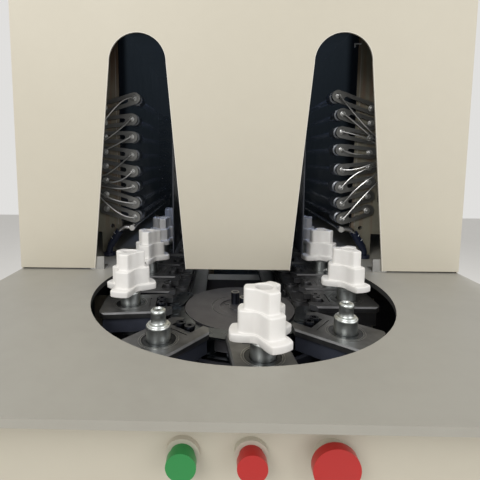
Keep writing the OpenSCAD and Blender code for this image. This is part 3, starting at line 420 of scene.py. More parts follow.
@dataclass(frozen=True)
class Finish:
    """One procedural finish. Its colours are linear RGB, and its lengths are in metres.

    Grime mixes it towards dark in soft patches. Its edges are mixed towards their edge colour, as
    rubbed edges and, on the lamp screws, as painted highlight; edge_r is how wide they are. Grain is
    the height of fine bumps. Low_dark paints shade on it just over the table, deep mixes painted shade
    into it and gives it a painted glow behind the front lamp arms, and hole_dark paints shade on the
    wall of the loading opening. Streak is the colour of upright streaks.
    """

    name: str
    coat: Coat
    color: Color
    rough: float
    grime: float = 0.12
    grime_size: float = 6.0
    dark: Color = (0.05, 0.045, 0.04)
    grain: float = 0.0
    grain_size: float = 300.0
    wear_and_glint: float = 0.0
    wear_and_glint_color: Color = (0.55, 0.55, 0.54)
    edge_r: float = 0.0016
    alpha: float = 1.0
    low_dark: float = 0.0
    deep: float = 0.0
    hole_dark: float = 0.0
    streak: Color | None = None

    def material(self, kit: ShaderKit) -> Material:
        """Build the finish as a material.

        Args:
            kit: The shared node groups.

        Returns:
            The new material.
        """
        mat = bpy.data.materials.new(self.name)
        mat.use_nodes = True
        mat.node_tree.nodes.clear()
        graph = Graph(mat.node_tree)
        place = graph.add("TexCoord").outputs["Object"]
        color = self.base_color(graph, kit, place)
        inputs = {**self.coat.shader_inputs(), "Alpha": self.alpha}
        inputs["Roughness"] = self.roughness(graph, kit, place)
        # Painted shade and painted glow: behind the front lamp arms the colour is mixed towards the navy
        # shade, and a glow that grows with height is given off.
        if self.deep > 0:
            depth = self.depth(graph, kit, place)
            color = graph.mix(color, NAVY_SHADE, depth["Mask"])
            inputs |= {"Emission Color": graph.scaled(PAINTED_GLOW, depth["Glow"]), "Emission Strength": 1.0}
        inputs["Base Color"] = color
        if self.grain > 0:
            bump = {"Vector": place, "Scale": self.grain_size, "Height": self.grain}
            inputs["Normal"] = graph.use(kit.grain, bump)["Normal"]
        shader = graph.add("BsdfPrincipled", inputs)
        graph.add("OutputMaterial", {"Surface": shader.outputs["BSDF"]})
        return mat

    def base_color(self, graph: Graph, kit: ShaderKit, place: Socket) -> Socket:
        """Lay grime, rubbed edges with their painted highlights, streaks and the painted shade round the
        table over the colour, in this order.

        Args:
            graph: The material's nodes.
            kit: The shared node groups.
            place: The point of the surface.

        Returns:
            The socket of the result.
        """
        grime = graph.use(kit.grime, {"Vector": place, "Scale": self.grime_size})["Mask"]
        color = graph.mix(self.color, self.dark, graph.math("MULTIPLY", grime, self.grime))
        # Edges mixed towards their edge colour: rubbed edges, and on the lamp screws a painted highlight.
        if self.wear_and_glint > 0:
            edge = graph.use(kit.edge, {"Radius": self.edge_r, "Width": self.wear_and_glint})
            color = graph.mix(color, self.wear_and_glint_color, edge["Mask"])
        if self.streak is not None:
            streak = graph.use(kit.streak, {"Vector": place, "Scale": STREAK_SCALE})
            color = graph.mix(color, self.streak, streak["Mask"])
        # Painted shade: darker just over the table, at the covers' foot.
        if self.low_dark > 0:
            low, high = (TABLE_Z + height for height in FOOT_BAND)
            low = graph.use(kit.height_mask, {"Vector": place, "Low": low, "High": high})["Mask"]
            color = graph.scaled(color, graph.math("MULTIPLY_ADD", low, -self.low_dark, 1.0))
        # Painted shade on the upright wall of the loading opening.
        if self.hole_dark > 0:
            reach = {"Vector": place, "Reach": HOLE_REACH, "Amount": self.hole_dark}
            color = graph.mix(color, NAVY_SHADE, graph.use(kit.hole_wall, reach)["Mask"])
        return color

    def depth(self, graph: Graph, kit: ShaderKit, place: Socket) -> Outputs:
        """Mask what lies behind the front lamp arms, for the painted shade and the painted glow."""
        near, far = (FRONT_Y + (LAMP_Y + behind) * MM for behind in DEEP_BAND)
        return graph.use(kit.depth_mask, {"Vector": place, "Near": near, "Far": far, "Amount": self.deep})

    def roughness(self, graph: Graph, kit: ShaderKit, place: Socket) -> Socket:
        """Let the roughness wander round its middle, less so on a glossy finish.

        Args:
            graph: The material's nodes.
            kit: The shared node groups.
            place: The point of the surface.

        Returns:
            The socket of the result.
        """
        spread = min(ROUGH_SWING, self.rough * ROUGH_SHARE)
        values = {"Scale": self.grime_size * ROUGH_FINENESS, "Middle": self.rough, "Spread": spread}
        return graph.use(kit.vary, {"Vector": place, **values})["Value"]


class Finishes:
    """Every finish of the machine, and which node wears which."""

    # Low_dark paints shade at the covers' foot, just over the table.
    PANEL = Finish("beige_paint", Coat.PAINT, (0.543, 0.505, 0.413), 0.55, grime=0.05, grime_size=3.0,
                   dark=(0.36, 0.32, 0.26), grain=0.00004, grain_size=700.0, low_dark=0.08)
    # Hole_dark paints shade on the wall of the loading opening.
    TABLE = Finish("worn_table", Coat.PAINT, (0.335, 0.322, 0.282), 0.5, grime_size=5.0,
                   dark=(0.2, 0.18, 0.15), grain=0.00003, grain_size=500.0, hole_dark=0.9)
    # Painted highlight: the light colour of the bands round the slots stands for the cut edge catching the
    # light.
    EDGE_HIGHLIGHT = Finish("painted_edge_highlight", Coat.PAINT, (0.74, 0.71, 0.64), 0.45, grime=0.05)
    FRAME = Finish("frame_paint", Coat.PAINT, (0.016, 0.018, 0.026), 0.5, grime=0.2)
    DARK = Finish("dark_steel", Coat.METAL, (0.17, 0.17, 0.175), 0.42, grime=0.45, grime_size=14.0,
                  dark=(0.03, 0.03, 0.035), grain=0.00006, grain_size=260.0, wear_and_glint=0.5,
                  wear_and_glint_color=(0.42, 0.42, 0.42))
    PLATE = Finish("oiled_plate", Coat.METAL, (0.225, 0.227, 0.232), 0.42, grime=0.55, grime_size=16.0,
                   dark=(0.035, 0.035, 0.04), grain=0.0001, grain_size=220.0, wear_and_glint=0.4,
                   wear_and_glint_color=(0.34, 0.33, 0.31), edge_r=0.0009)
    BLOCK = Finish("navy_block", Coat.PAINT, (0.05, 0.056, 0.078), 0.45, grime=0.4, grime_size=14.0,
                   dark=(0.012, 0.014, 0.02), wear_and_glint=0.4, wear_and_glint_color=(0.12, 0.13, 0.16), edge_r=0.001)
    BED = Finish("oiled_bed", Coat.PAINT, (0.012, 0.014, 0.022), 0.45, grime=0.3, grime_size=10.0)
    SEAL = Finish("bearing_seal", Coat.METAL, (0.055, 0.058, 0.062), 0.35, grime=0.4, grime_size=30.0,
                  dark=(0.02, 0.022, 0.025))
    SOCKET = Finish("socket_screw", Coat.METAL, (0.05, 0.055, 0.07), 0.32, grime=0.3, grime_size=30.0,
                    dark=(0.01, 0.01, 0.015), wear_and_glint=0.6, wear_and_glint_color=(0.3, 0.31, 0.34), edge_r=0.0009)
    DISC = Finish("grey_disc", Coat.METAL, (0.165, 0.162, 0.172), 0.55, grime=0.4, grime_size=12.0,
                  dark=(0.06, 0.06, 0.07), grain=0.00005, grain_size=260.0, wear_and_glint=0.3)
    CHAIN = Finish("oiled_chain", Coat.METAL, (0.15, 0.165, 0.18), 0.3, grime=0.5, grime_size=30.0,
                   dark=(0.015, 0.025, 0.03), wear_and_glint=0.8, wear_and_glint_color=(0.42, 0.44, 0.45), edge_r=0.0007)
    BRIGHT = Finish("bright_steel", Coat.METAL, (0.72, 0.72, 0.71), 0.28, grime_size=20.0)
    # Painted highlight: the near-white edges of the lamp screws stand for the bright rings that the light
    # draws on their heads and washers, besides rubbed edges.
    SCREW = Finish("lamp_screw_steel", Coat.METAL, (0.6, 0.6, 0.59), 0.4, grime=0.3, grime_size=20.0,
                   dark=(0.2, 0.2, 0.2), wear_and_glint=0.9, wear_and_glint_color=(0.95, 0.95, 0.93), edge_r=0.0009, deep=0.6)
    PIPE = Finish("pipe_steel", Coat.METAL, (0.6, 0.6, 0.6), 0.25, grime=0.2, grime_size=20.0, deep=1.0)
    SPINDLE = Finish("spindle_steel", Coat.METAL, (0.62, 0.65, 0.63), 0.33, grime=0.25, grime_size=18.0,
                     dark=(0.2, 0.23, 0.21), wear_and_glint=0.8, wear_and_glint_color=(0.8, 0.8, 0.79))
    CAP = Finish("white_resin", Coat.PLASTIC, (0.76, 0.745, 0.72), 0.42, grime_size=22.0,
                 dark=(0.48, 0.44, 0.38), grain=0.00004, grain_size=320.0)
    ZINC = Finish("grey_zinc", Coat.METAL, (0.5, 0.5, 0.49), 0.4, grime=0.3, grime_size=22.0,
                  dark=(0.2, 0.2, 0.2))
    ARM = Finish("lamp_arm_steel", Coat.METAL, (0.28, 0.28, 0.27), 0.42, grime=0.3, grime_size=22.0,
                 dark=(0.08, 0.08, 0.08), wear_and_glint=0.4, wear_and_glint_color=(0.5, 0.5, 0.49), edge_r=0.0008, deep=1.0)
    HOLDER = Finish("lamp_holder_steel", Coat.METAL, (0.4, 0.42, 0.45), 0.5, grime=0.3, grime_size=22.0,
                    dark=(0.12, 0.12, 0.14), wear_and_glint=0.3, wear_and_glint_color=(0.5, 0.51, 0.53), edge_r=0.0008,
                    deep=1.0)
    OLIVE = Finish("olive_post", Coat.PAINT, (0.19, 0.18, 0.138), 0.45, grime=0.3, grime_size=12.0,
                   wear_and_glint=0.5, wear_and_glint_color=(0.34, 0.33, 0.3), edge_r=0.001, deep=1.0,
                   streak=(0.16, 0.095, 0.06))
    QUARTZ = Finish("quartz", Coat.GLASS, (0.5, 0.5, 0.55), 0.2, grime=0.05, alpha=0.25)
    WIRE = Finish("silver_wire", Coat.METAL, (0.64, 0.64, 0.63), 0.34, grime=0.1, grime_size=40.0, deep=1.0)
    RING = Finish("worn_ring", Coat.METAL, (0.42, 0.42, 0.41), 0.35, grime=0.45, grime_size=40.0,
                  dark=(0.08, 0.08, 0.08))
    # Painted highlight: the light colour of the strip down each post stands for a fold catching the light.
    FOLD_HIGHLIGHT = Finish("painted_fold_highlight", Coat.PAINT, (0.3, 0.29, 0.26), 0.5, grime=0.1)
    MARK = Finish("white_mark", Coat.PLASTIC, (0.7, 0.72, 0.75), 0.4, grime=0.05)
    BLACK = Finish("black_plastic", Coat.PLASTIC, (0.02, 0.02, 0.022), 0.45, grime=0.1)
    # Painted shade: the reflectors are drawn near black, standing in for the dark that they mirror.
    MIRROR = Finish("dark_mirror", Coat.METAL, (0.03, 0.034, 0.045), 0.4, grime=0.3, grime_size=8.0,
                    dark=(0.02, 0.022, 0.03), deep=1.0)
    OVEN = Finish("oven_black", Coat.PAINT, (0.02, 0.023, 0.032), 0.5, grime=0.3, grime_size=8.0,
                  dark=(0.012, 0.014, 0.02), deep=1.0)
    HOSE = Finish("blue_hose", Coat.PLASTIC, (0.006, 0.01, 0.028), 0.35, grime=0.1)
    RUBBER = Finish("foot_rubber", Coat.PLASTIC, (0.025, 0.025, 0.027), 0.7, grime=0.1)
    MOTOR = Finish("motor_paint", Coat.PAINT, (0.06, 0.09, 0.13), 0.45, grime=0.2)
    ALU = Finish("mould_aluminium", Coat.METAL, (0.6, 0.61, 0.62), 0.35, grime=0.15)
    CLEAR = Finish("clear_guard", Coat.GLASS, (0.85, 0.9, 0.92), 0.08, grime=0.02, alpha=0.45)
    GREEN = Finish("green_button", Coat.PLASTIC, (0.015, 0.22, 0.05), 0.3, grime=0.05)
    RED = Finish("red_button", Coat.PLASTIC, (0.42, 0.012, 0.01), 0.3, grime=0.05)
    FLOOR = Finish("pale_floor", Coat.PAINT, (0.62, 0.61, 0.59), 0.8, grime=0.02)

    NODES = (
        (PANEL, "front_cover side_covers roof_cover lower_panels control_apron bay_cover lower_door"),
        (TABLE, "table_plate"),
        (FRAME, "base_frame bearing_housings clamp_end_plates nozzle_bridge left_platen right_platen"),
        (DARK, "left_carriers right_carriers rear_carriers"),
        (BLOCK, "front_blocks"),
        (BED, "conveyor_bed"),
        (SOCKET, "front_screws"),
        (CHAIN, "front_chain"),
        (PLATE, "front_plates"),
        (DISC, "front_sprocket rear_sprocket"),
        (BRIGHT, "tie_bars blow_nozzles stretch_rods"),
        (SCREW, "lamp_screws"),
        (PIPE, "guide_rods"),
        (SPINDLE, "spindle_1 spindle_2 spindle_3 spindle_4 left_spindles right_spindles rear_spindles"),
        (CAP, "cap_left cap_front left_caps right_caps"),
        (ZINC, "slot_brackets"),
        (ARM, "lamp_arms"),
        (HOLDER, "lamp_holders"),
        (OLIVE, "lamp_posts"),
        (QUARTZ, "quartz_lamps"),
        (WIRE, "lamp_wires"),
        (BLACK, "terminal_strips door_handle"),
        (MIRROR, "reflectors"),
        (OVEN, "oven_walls"),
        (HOSE, "cooling_hoses"),
        (RUBBER, "levelling_feet"),
        (MOTOR, "gear_motor"),
        (ALU, "air_cylinders left_mould right_mould"),
        (CLEAR, "guard_door"),
        (GREEN, "start_button"),
        (RED, "stop_button emergency_stop"),
    )

    def __init__(self, kit: ShaderKit) -> None:
        """Keep the shared node groups, and start with no material built."""
        self.kit = kit
        self.made: dict[str, Material] = {}

    def get(self, finish: Finish) -> Material:
        """Return the material of a finish, built on first use.

        Args:
            finish: The finish.

        Returns:
            Its material.
        """
        if finish.name not in self.made:
            self.made[finish.name] = finish.material(self.kit)
        return self.made[finish.name]

    def dress_nodes(self) -> None:
        """Put each CAD node's finish on its object."""
        for finish, names in self.NODES:
            mat = self.get(finish)
            for name in names.split():
                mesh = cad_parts[name].data
                mesh.materials.clear()
                mesh.materials.append(mat)


@dataclass
class Piece:
    """A mesh piece that rides on a body of the machine."""

    name: str
    body: str
    slot: str
    smooth: bool = True
    sharp_angle: float = 35

    def build(self, shape: Shape, mat: Material) -> bpy.types.Object:
        """Make the piece's object. A smooth one keeps its edges over the sharp angle, in degrees.

        Args:
            shape: Points in metres, one row each, and faces as lists of point numbers.
            mat: The piece's material.

        Returns:
            The new object.
        """
        verts, faces = shape
        mesh = bpy.data.meshes.new(self.name)
        mesh.from_pydata(verts.tolist(), [], faces)
        mesh.update()
        mesh.materials.append(mat)
        obj = add_object(self.name, mesh)
        if self.smooth:
            mesh.polygons.foreach_set("use_smooth", np.ones(len(mesh.polygons), dtype=bool))
            mesh.set_sharp_from_angle(angle=math.radians(self.sharp_angle))
        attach(obj, self.body)
        LOG.info("%s: %d faces on %s", self.name, len(mesh.polygons), self.body)
        return obj


@dataclass(frozen=True)
class AreaLight:
    """A square area light: places in metres, power in watts, colour in linear RGB."""

    name: str
    place: Point
    aim: Point
    size: float
    power: float
    color: Color
    mirrored: bool = True

    def add(self) -> None:
        """Add the light. Bright surfaces mirror it only where mirrored is set."""
        data = bpy.data.lights.new(self.name, "AREA")
        data.size = self.size
        data.energy = self.power
        data.color = self.color
        obj = add_object(self.name, data)
        obj.visible_camera = False
        obj.visible_glossy = self.mirrored
        obj.location = self.place
        obj.rotation_euler = (Vector(self.aim) - Vector(self.place)).to_track_quat("-Z", "Y").to_euler()


@dataclass
class Studio:
    """Floor, lights and the photograph's camera: metres, degrees, and pixels where the name says so."""

    photo_px: int = 480
    focal_px: float = 370.65
    shift_px: tuple[float, float] = (23.9, -44.3)
    sensor: float = 36.0
    position: Point = (-0.02625, FRONT_Y - 0.54738, TABLE_Z + 0.19571)
    pitch: float = 5.792
    yaw: float = -1.072
    roll: float = 0.316
    focus: Point = (0.0, -0.3, 1.0)
    sky: float = 0.75
    floor_half: float = 6.0

    def camera(self) -> None:
        """Place the camera where the photograph was taken.

        Its forward axis is turned from +Y by the yaw and tipped down by the pitch, and its side
        and top axes are then rolled about it.
        """
        pitch, yaw, roll = (math.radians(a) for a in (self.pitch, self.yaw, self.roll))
        fwd = Vector((math.sin(yaw) * math.cos(pitch), math.cos(yaw) * math.cos(pitch), -math.sin(pitch)))
        right = Vector((math.cos(yaw), -math.sin(yaw), 0.0))
        up = right.cross(fwd)
        side = right * math.cos(roll) + up * math.sin(roll)
        top = up * math.cos(roll) - right * math.sin(roll)
        data = bpy.data.cameras.new("camera")
        data.lens = self.focal_px / self.photo_px * self.sensor
        data.sensor_width = self.sensor
        data.shift_x, data.shift_y = (shift / self.photo_px for shift in self.shift_px)
        data.clip_start = 0.01
        data.clip_end = 50.0
        cam = add_object("camera", data)
        cam.matrix_world = Matrix((
            (side.x, top.x, -fwd.x, self.position[0]),
            (side.y, top.y, -fwd.y, self.position[1]),
            (side.z, top.z, -fwd.z, self.position[2]),
            (0.0, 0.0, 0.0, 1.0)))
        bpy.context.scene.camera = cam

    def lights(self) -> None:
        """Set soft studio light round the machine, and stray light in its two ovens."""
        world = bpy.data.worlds.new("studio")
        world.use_nodes = True
        sky = world.node_tree.nodes["Background"]
        sky.inputs["Color"].default_value = (1.0, 0.99, 0.97, 1.0)
        sky.inputs["Strength"].default_value = self.sky
        bpy.context.scene.world = world
        bpy.context.scene.view_settings.view_transform = "Standard"
        warm, cool, white = (1.0, 0.99, 0.97), (0.97, 0.98, 1.0), (1.0, 1.0, 1.0)
        AreaLight("key", (-1.2, -2.6, 2.7), self.focus, size=1.6, power=46.0, color=warm).add()
        AreaLight("fill", (1.8, -2.0, 1.9), self.focus, size=1.6, power=16.0, color=cool).add()
        AreaLight("back", (0.5, 2.6, 2.8), (0.0, 0.2, 0.9), size=1.8, power=60.0, color=white).add()
        for side in (-1, 1):
            top = (side * 0.15, FRONT_Y + 0.25, TABLE_Z + 0.41)
            back = (side * 0.17, FRONT_Y + 0.5, TABLE_Z + 0.03)
            AreaLight(f"oven_glow_{side + 1}", top, back, size=0.06, power=0.38, color=(0.5, 0.63, 1.0),
                      mirrored=False).add()

    def floor(self, finishes: Finishes) -> None:
        """Lay a plain pale floor.

        Args:
            finishes: The machine's finishes.
        """
        half = self.floor_half
        mesh = bpy.data.meshes.new("floor")
        corners = [(-half, -half, 0), (half, -half, 0), (half, half, 0), (-half, half, 0)]
        mesh.from_pydata(corners, [], [(0, 1, 2, 3)])
        mesh.materials.append(finishes.get(Finishes.FLOOR))
        add_object("floor", mesh)


@dataclass
class ArmCap:
    """A stepped cap with three straight arms, rounded along its edges and hollows, in millimetres.

    A level is its lower and upper height, how far its arms reach and half their width.
    """

    levels: tuple[tuple[float, ...], ...] = (
        (21.5, 30.5, 37.5, 14.75), (30.5, 55.0, 28.0, 12.0), (55.0, 78.5, 21.75, 8.8))
    arm_angles: tuple[float, ...] = (0.0, 129.0, 252.0)
    core: float = 13.25
    bore: float = 9.3
    bore_edge: float = 1.0
    foot_edge: float = 0.6
    edge: float = 2.2
    edge_least: float = 0.01
    edge_steps: int = 5
    fillet: float = 1.6
    fillet_steps: int = 4
    tip_blend: float = 9.0
    valley_blend: float = 5.0
    gap_share: float = 0.45
    sides: int = 240

    @staticmethod
    def smooth_min(a: np.ndarray, b: np.ndarray, size: float) -> np.ndarray:
        """Return the smaller of two values, rounded over where they differ by less than size."""
        share = np.clip(1.0 - np.abs(a - b) / size, 0.0, 1.0)
        return np.minimum(a, b) - 0.25 * size * share ** 2

    def outline(self, reach: float, half: float, angles: np.ndarray) -> np.ndarray:
        """Measure the arms' outline from the spindle's axis.

        A ray that leaves the axis at an angle t from an arm meets the arm's side at
        half / sin(t) and the end circle at reach; the nearer of the two, rounded, is the arm's
        outline. The outlines of the arms and of the core are joined by a soft maximum, so that
        the hollows between them are filleted.

        Args:
            reach: Distance from the axis to an arm's end.
            half: Half width of an arm.
            angles: Directions in radians.

        Returns:
            The distance to the outline in each direction.
        """
        total = np.full_like(angles, self.core)
        for arm in self.arm_angles:
            turn = np.angle(np.exp(1j * (angles - math.radians(arm))))
            side = half / np.maximum(np.sin(np.abs(turn)), 1e-3)
            side = np.where(np.abs(turn) < math.pi / 2, side, 0.0)
            ray = self.smooth_min(side, np.full_like(side, reach), self.tip_blend)
            total = -self.smooth_min(-total, -ray, self.valley_blend)
        return np.minimum(total, reach)

    def mesh(self) -> Shape:
        """Build the cap about the origin as one closed surface.

        It is a stack of rings, each a distance from the axis and a height: the bore's lower edge,
        then each level's quarter-round fillet, side and quarter-round top edge, then the bore's
        upper edge. A quarter round of size s takes s (1 - cos t) off the distance while it rises
        s sin t, and takes up no more than its share of the step beside it. The last ring joins
        the first down the bore.

        Returns:
            Its points and faces.
        """
        angles = np.linspace(0, 2 * math.pi, self.sides, endpoint=False)
        outlines = [self.outline(reach, half, angles) for _, _, reach, half in self.levels]
        bore = np.full(self.sides, self.bore)
        rim = bore + self.bore_edge
        inner = outlines[1:] + [rim]
        foot, top = self.levels[0][0], self.levels[-1][1]
        rings = [(bore, foot + self.bore_edge), (rim, foot),
                 (outlines[0] - self.foot_edge, foot), (outlines[0], foot + self.foot_edge)]
        for i, (low, high, _, _) in enumerate(self.levels):
            if i > 0:
                step = np.maximum(outlines[i - 1] - outlines[i], 0.0)
                hollow = np.minimum(self.fillet, self.gap_share * step)
                for t in np.linspace(0, math.pi / 2, self.fillet_steps):
                    rings.append((outlines[i] + hollow * (1 - math.sin(t)), low + hollow * (1 - math.cos(t))))
            step = np.maximum(outlines[i] - inner[i], 0.0)
            room = np.minimum(self.edge, self.gap_share * step) + self.edge_least
            for t in np.linspace(0, math.pi / 2, self.edge_steps):
                rings.append((outlines[i] - room * (1 - math.cos(t)), high - room + room * math.sin(t)))
        rings += [(rim, top), (bore, top - self.bore_edge)]
        verts = [np.stack([radius * np.cos(angles), radius * np.sin(angles),
                           np.broadcast_to(height, radius.shape)], axis=1) for radius, height in rings]
        return np.concatenate(verts), grid_faces(len(rings), self.sides)


@dataclass
class CapSet:
    """The caps that stand on the spindles, and how far each is turned, in degrees.

    The turns of the two caps on the front sprocket are from the machine's +X, and those of the
    straights, from the front one back, are from their carriers' own.
    """

    cap: ArmCap = field(default_factory=ArmCap)
    left_front_turn: float = 257
    front_turn: float = 46
    right_turns: tuple[float, ...] = (165.0, 190.0, 40.0, 150.0)
    left_turns: tuple[float, ...] = (77.0, 100.0, 60.0, 170.0)

    def shape(self, turn: float, matrix: Matrix) -> Shape:
        """Turn a cap on its spindle and move it to its carrier.

        Args:
            turn: The cap's turn in the carrier's frame, in degrees.
            matrix: The carrier's place.

        Returns:
            Points in metres and faces.
        """
        verts, faces = self.cap.mesh()
        cos, sin = math.cos(math.radians(turn)), math.sin(math.radians(turn))
        rot = np.array([[cos, -sin, 0], [sin, cos, 0], [0, 0, 1]])
        return placed(verts @ rot.T * MM + np.array([SPINDLE_OFFSET, 0, 0]), matrix), faces

    @staticmethod
    def front_angle(k: int) -> float:
        """Return where the carrier k steps from the front one stands round the sprocket, in degrees."""
        return REST_PHASE + CARRIER_TURN * k - 90

    @staticmethod
    def at_front(k: int) -> Matrix:
        """Return the place of the carrier k steps from the front one."""
        turn = Matrix.Rotation(math.radians(CapSet.front_angle(k)), 4, "Z")
        return Matrix.Translation((0, FRONT_Y, PLATE_Z)) @ turn @ Matrix.Translation((CHORD_R, 0, 0))

    @staticmethod
    def at_side(side: int, along: float) -> Matrix:
        """Return the place of a carrier on a straight: side 1 is right and -1 is left."""
        move = Matrix.Translation((side * PITCH_R, FRONT_Y + along, PLATE_Z))
        return move @ Matrix.Rotation(0.0 if side > 0 else math.pi, 4, "Z")

    def build(self, finishes: Finishes) -> None:
        """Build every cap as a piece.

        Args:
            finishes: The machine's finishes.
        """
        first_right = REST_PHASE / CARRIER_TURN * CARRIER_PITCH
        first_left = CARRIER_PITCH - first_right
        jobs = []
        on_front = ("left", 1, -2, self.left_front_turn), ("front", 3, 0, self.front_turn)
        for name, number, k, turn in on_front:
            own_turn = turn - self.front_angle(k)
            jobs.append((f"cap_{name}_round", f"spindle_{number}", own_turn, self.at_front(k), f"cap_{name}"))
        for j, (right, left) in enumerate(zip(self.right_turns, self.left_turns)):
            place = self.at_side(1, first_right + 2 * j * CARRIER_PITCH)
            jobs.append((f"right_cap_{j + 1}", "right_run", right, place, None if j else "right_caps"))
            place = self.at_side(-1, first_left + (2 * j + 1) * CARRIER_PITCH)
            jobs.append((f"left_cap_{j + 1}", "left_run", left, place, None if j else "left_caps"))
        for name, body, turn, place, node in jobs:
            obj = Piece(name, body, "cap_plastic").build(self.shape(turn, place), finishes.get(Finishes.CAP))
            if node:
                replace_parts(obj, node)


@dataclass(frozen=True)
class Turned:
    """A turned part: a closed profile of radius and height, in millimetres, round an upright axis."""

    profile: tuple[tuple[float, float], ...]
    sides: int = 96

    def shape(self, matrix: Matrix) -> Shape:
        """Sweep the profile round the axis of a place.

        The point of the profile at radius r and height h, turned by t, is (r cos t, r sin t, h).

        Args:
            matrix: The axis's place in metres.

        Returns:
            Points in metres and faces.
        """
        turns = np.linspace(0, 2 * math.pi, self.sides, endpoint=False)
        radius, height = (np.array(v, dtype=float) for v in zip(*self.profile))
        points = np.stack([np.outer(radius, np.cos(turns)), np.outer(radius, np.sin(turns)),
                           np.repeat(height[:, None], self.sides, axis=1)], axis=2).reshape(-1, 3)
        return placed(points * MM, matrix), grid_faces(len(radius), self.sides)


@dataclass
class SpindleSet:
    """The four front spindles with their stepped shoulders, and the seals and rings round them."""

    # Spin wheel, shank through the block, shoulder, neck with its collar, and chamfered tip
    spindle: Turned = Turned((
        (3.5, WHEEL_LOW - 3), (8.0, WHEEL_LOW - 3), (8.0, WHEEL_LOW), (15.0, WHEEL_LOW),
        (15.0, WHEEL_LOW + 8), (11.0, WHEEL_LOW + 8), (11.0, BLOCK_LOW - 0.5), (9.0, BLOCK_LOW - 0.5),
        (9.0, BLOCK_TOP - 2.5), (14.4, BLOCK_TOP - 2.5),
        (14.4, 16.4), (14.7, 16.8), (14.7, 17.8), (14.1, 18.9), (13.2, 19.3),
        (12.9, 20.4), (12.2, 21.0), (10.2, 21.4), (9.3, 21.5), (8.7, 22.4), (8.7, 31.2), (9.0, 31.8),
        (9.0, 35.2), (8.7, 36.2), (7.4, 37.6), (6.6, 38.0), (5.0, 38.0), (3.5, 36.0)))
    seal: Turned = Turned(((15.2, 0.02), (15.2, 0.3), (19.0, 0.12), (20.4, 0.3), (20.4, 0.02)))
    rings: tuple[Turned, ...] = (
        Turned(((21.0, 0.02), (21.0, 0.45), (21.6, 0.45), (21.6, 0.02))),
        Turned(((23.6, 0.02), (23.6, 0.35), (24.3, 0.35), (24.3, 0.02))))
    hub_rim: Turned = Turned(((4.4, 0.0), (4.4, 0.6), (6.3, 0.6), (6.3, 0.0)))
    hub_screws: tuple[tuple[float, float], ...] = ((-6.0, 11.0), (6.0, -11.0))

    def build(self, finishes: Finishes) -> None:
        """Build the spindles, seals and rings of the four front carriers, and the hub screws' rims.

        Args:
            finishes: The machine's finishes.
        """
        steel, seal, bright = (finishes.get(f) for f in (Finishes.SPINDLE, Finishes.SEAL, Finishes.RING))
        for number, k in enumerate(range(-2, 2), 1):
            place = CapSet.at_front(k) @ Matrix.Translation((SPINDLE_OFFSET, 0, 0))
            spindle = Piece(f"spindle_{number}_turned", f"spindle_{number}", "spindle_steel")
            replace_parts(spindle.build(self.spindle.shape(place), steel), f"spindle_{number}")
            Piece(f"seal_{number}", "front_turn", "dark_steel").build(self.seal.shape(place), seal)
            for i, ring in enumerate(self.rings, 1):
                name = f"seal_{number}_ring_{i}"
                Piece(name, "front_turn", "bright_steel").build(ring.shape(place), bright)
        for i, (x, y) in enumerate(self.hub_screws, 1):
            place = Matrix.Translation((x * MM, FRONT_Y + y * MM, PLATE_Z + HUB_SCREW_TOP * MM))
            Piece(f"hub_screw_rim_{i}", "front_turn", "bright_steel").build(self.hub_rim.shape(place), bright)


@dataclass
class SlotRims:
    """The painted highlight along the cover's cut edge round its two slots, as flat light bands on its face,
    in millimetres.
    """

    slot_x: float = 170.0
    foot_half: float = 79.5
    foot_z: float = 2.0
    top_z: float = 353.0
    top_r: float = 47.5
    width: float = 0.8
    proud: float = 0.2
    steps: int = 48

    def outline(self, grow: float) -> np.ndarray:
        """Trace a slot's outline: straight sides that run into a half-round top.

        The side from the foot touches the top circle where the radius is square to it.

        Args:
            grow: How far the outline is moved outwards.

        Returns:
            Points of x and z about the slot's middle.
        """
        foot = np.array([self.foot_half + grow, self.foot_z])
        radius = self.top_r + grow
        away = np.array([foot[0], foot[1] - self.top_z])
        reach = float(np.hypot(*away))
        touch = math.atan2(away[1], away[0]) + math.acos(radius / reach)
        turns = np.linspace(touch, math.pi - touch, self.steps)
        arc = np.stack([radius * np.cos(turns), self.top_z + radius * np.sin(turns)], axis=1)
        return np.concatenate([[foot], arc, [[-foot[0], foot[1]]]])

    def band(self, side: int) -> Shape:
        """Build the band of one slot between its outline and the grown one.

        Its points are numbered along the two outlines at the front, and then at the back.

        Args:
            side: 1 for the right slot and -1 for the left.

        Returns:
            Points in metres and faces.
        """
        lines = self.outline(0.0), self.outline(self.width)
        count = len(lines[0])
        verts = [
            np.stack([line[:, 0] + side * self.slot_x, np.full(count, COVER_Y + depth), line[:, 1]], axis=1)
            for depth in (-self.proud, 0.0) for line in lines]
        a, b, c, d = (np.arange(count - 1) + start * count for start in range(4))
        walls = (a, a + 1, b + 1, b), (c, d, d + 1, c + 1), (a, c, c + 1, a + 1), (b, b + 1, d + 1, d)
        faces = np.concatenate([np.stack(wall, axis=1) for wall in walls]).tolist()
        faces += [[i, i + count, i + 3 * count, i + 2 * count] for i in (0, count - 1)]
        return np.concatenate(verts) * MM + np.array([0.0, FRONT_Y, TABLE_Z]), faces

    def build(self, finishes: Finishes) -> None:
        """Build the band of each slot."""
        for name, side in (("slot_rim_right", 1), ("slot_rim_left", -1)):
            Piece(name, BASE, "panel", smooth=False).build(self.band(side), finishes.get(Finishes.EDGE_HIGHLIGHT))


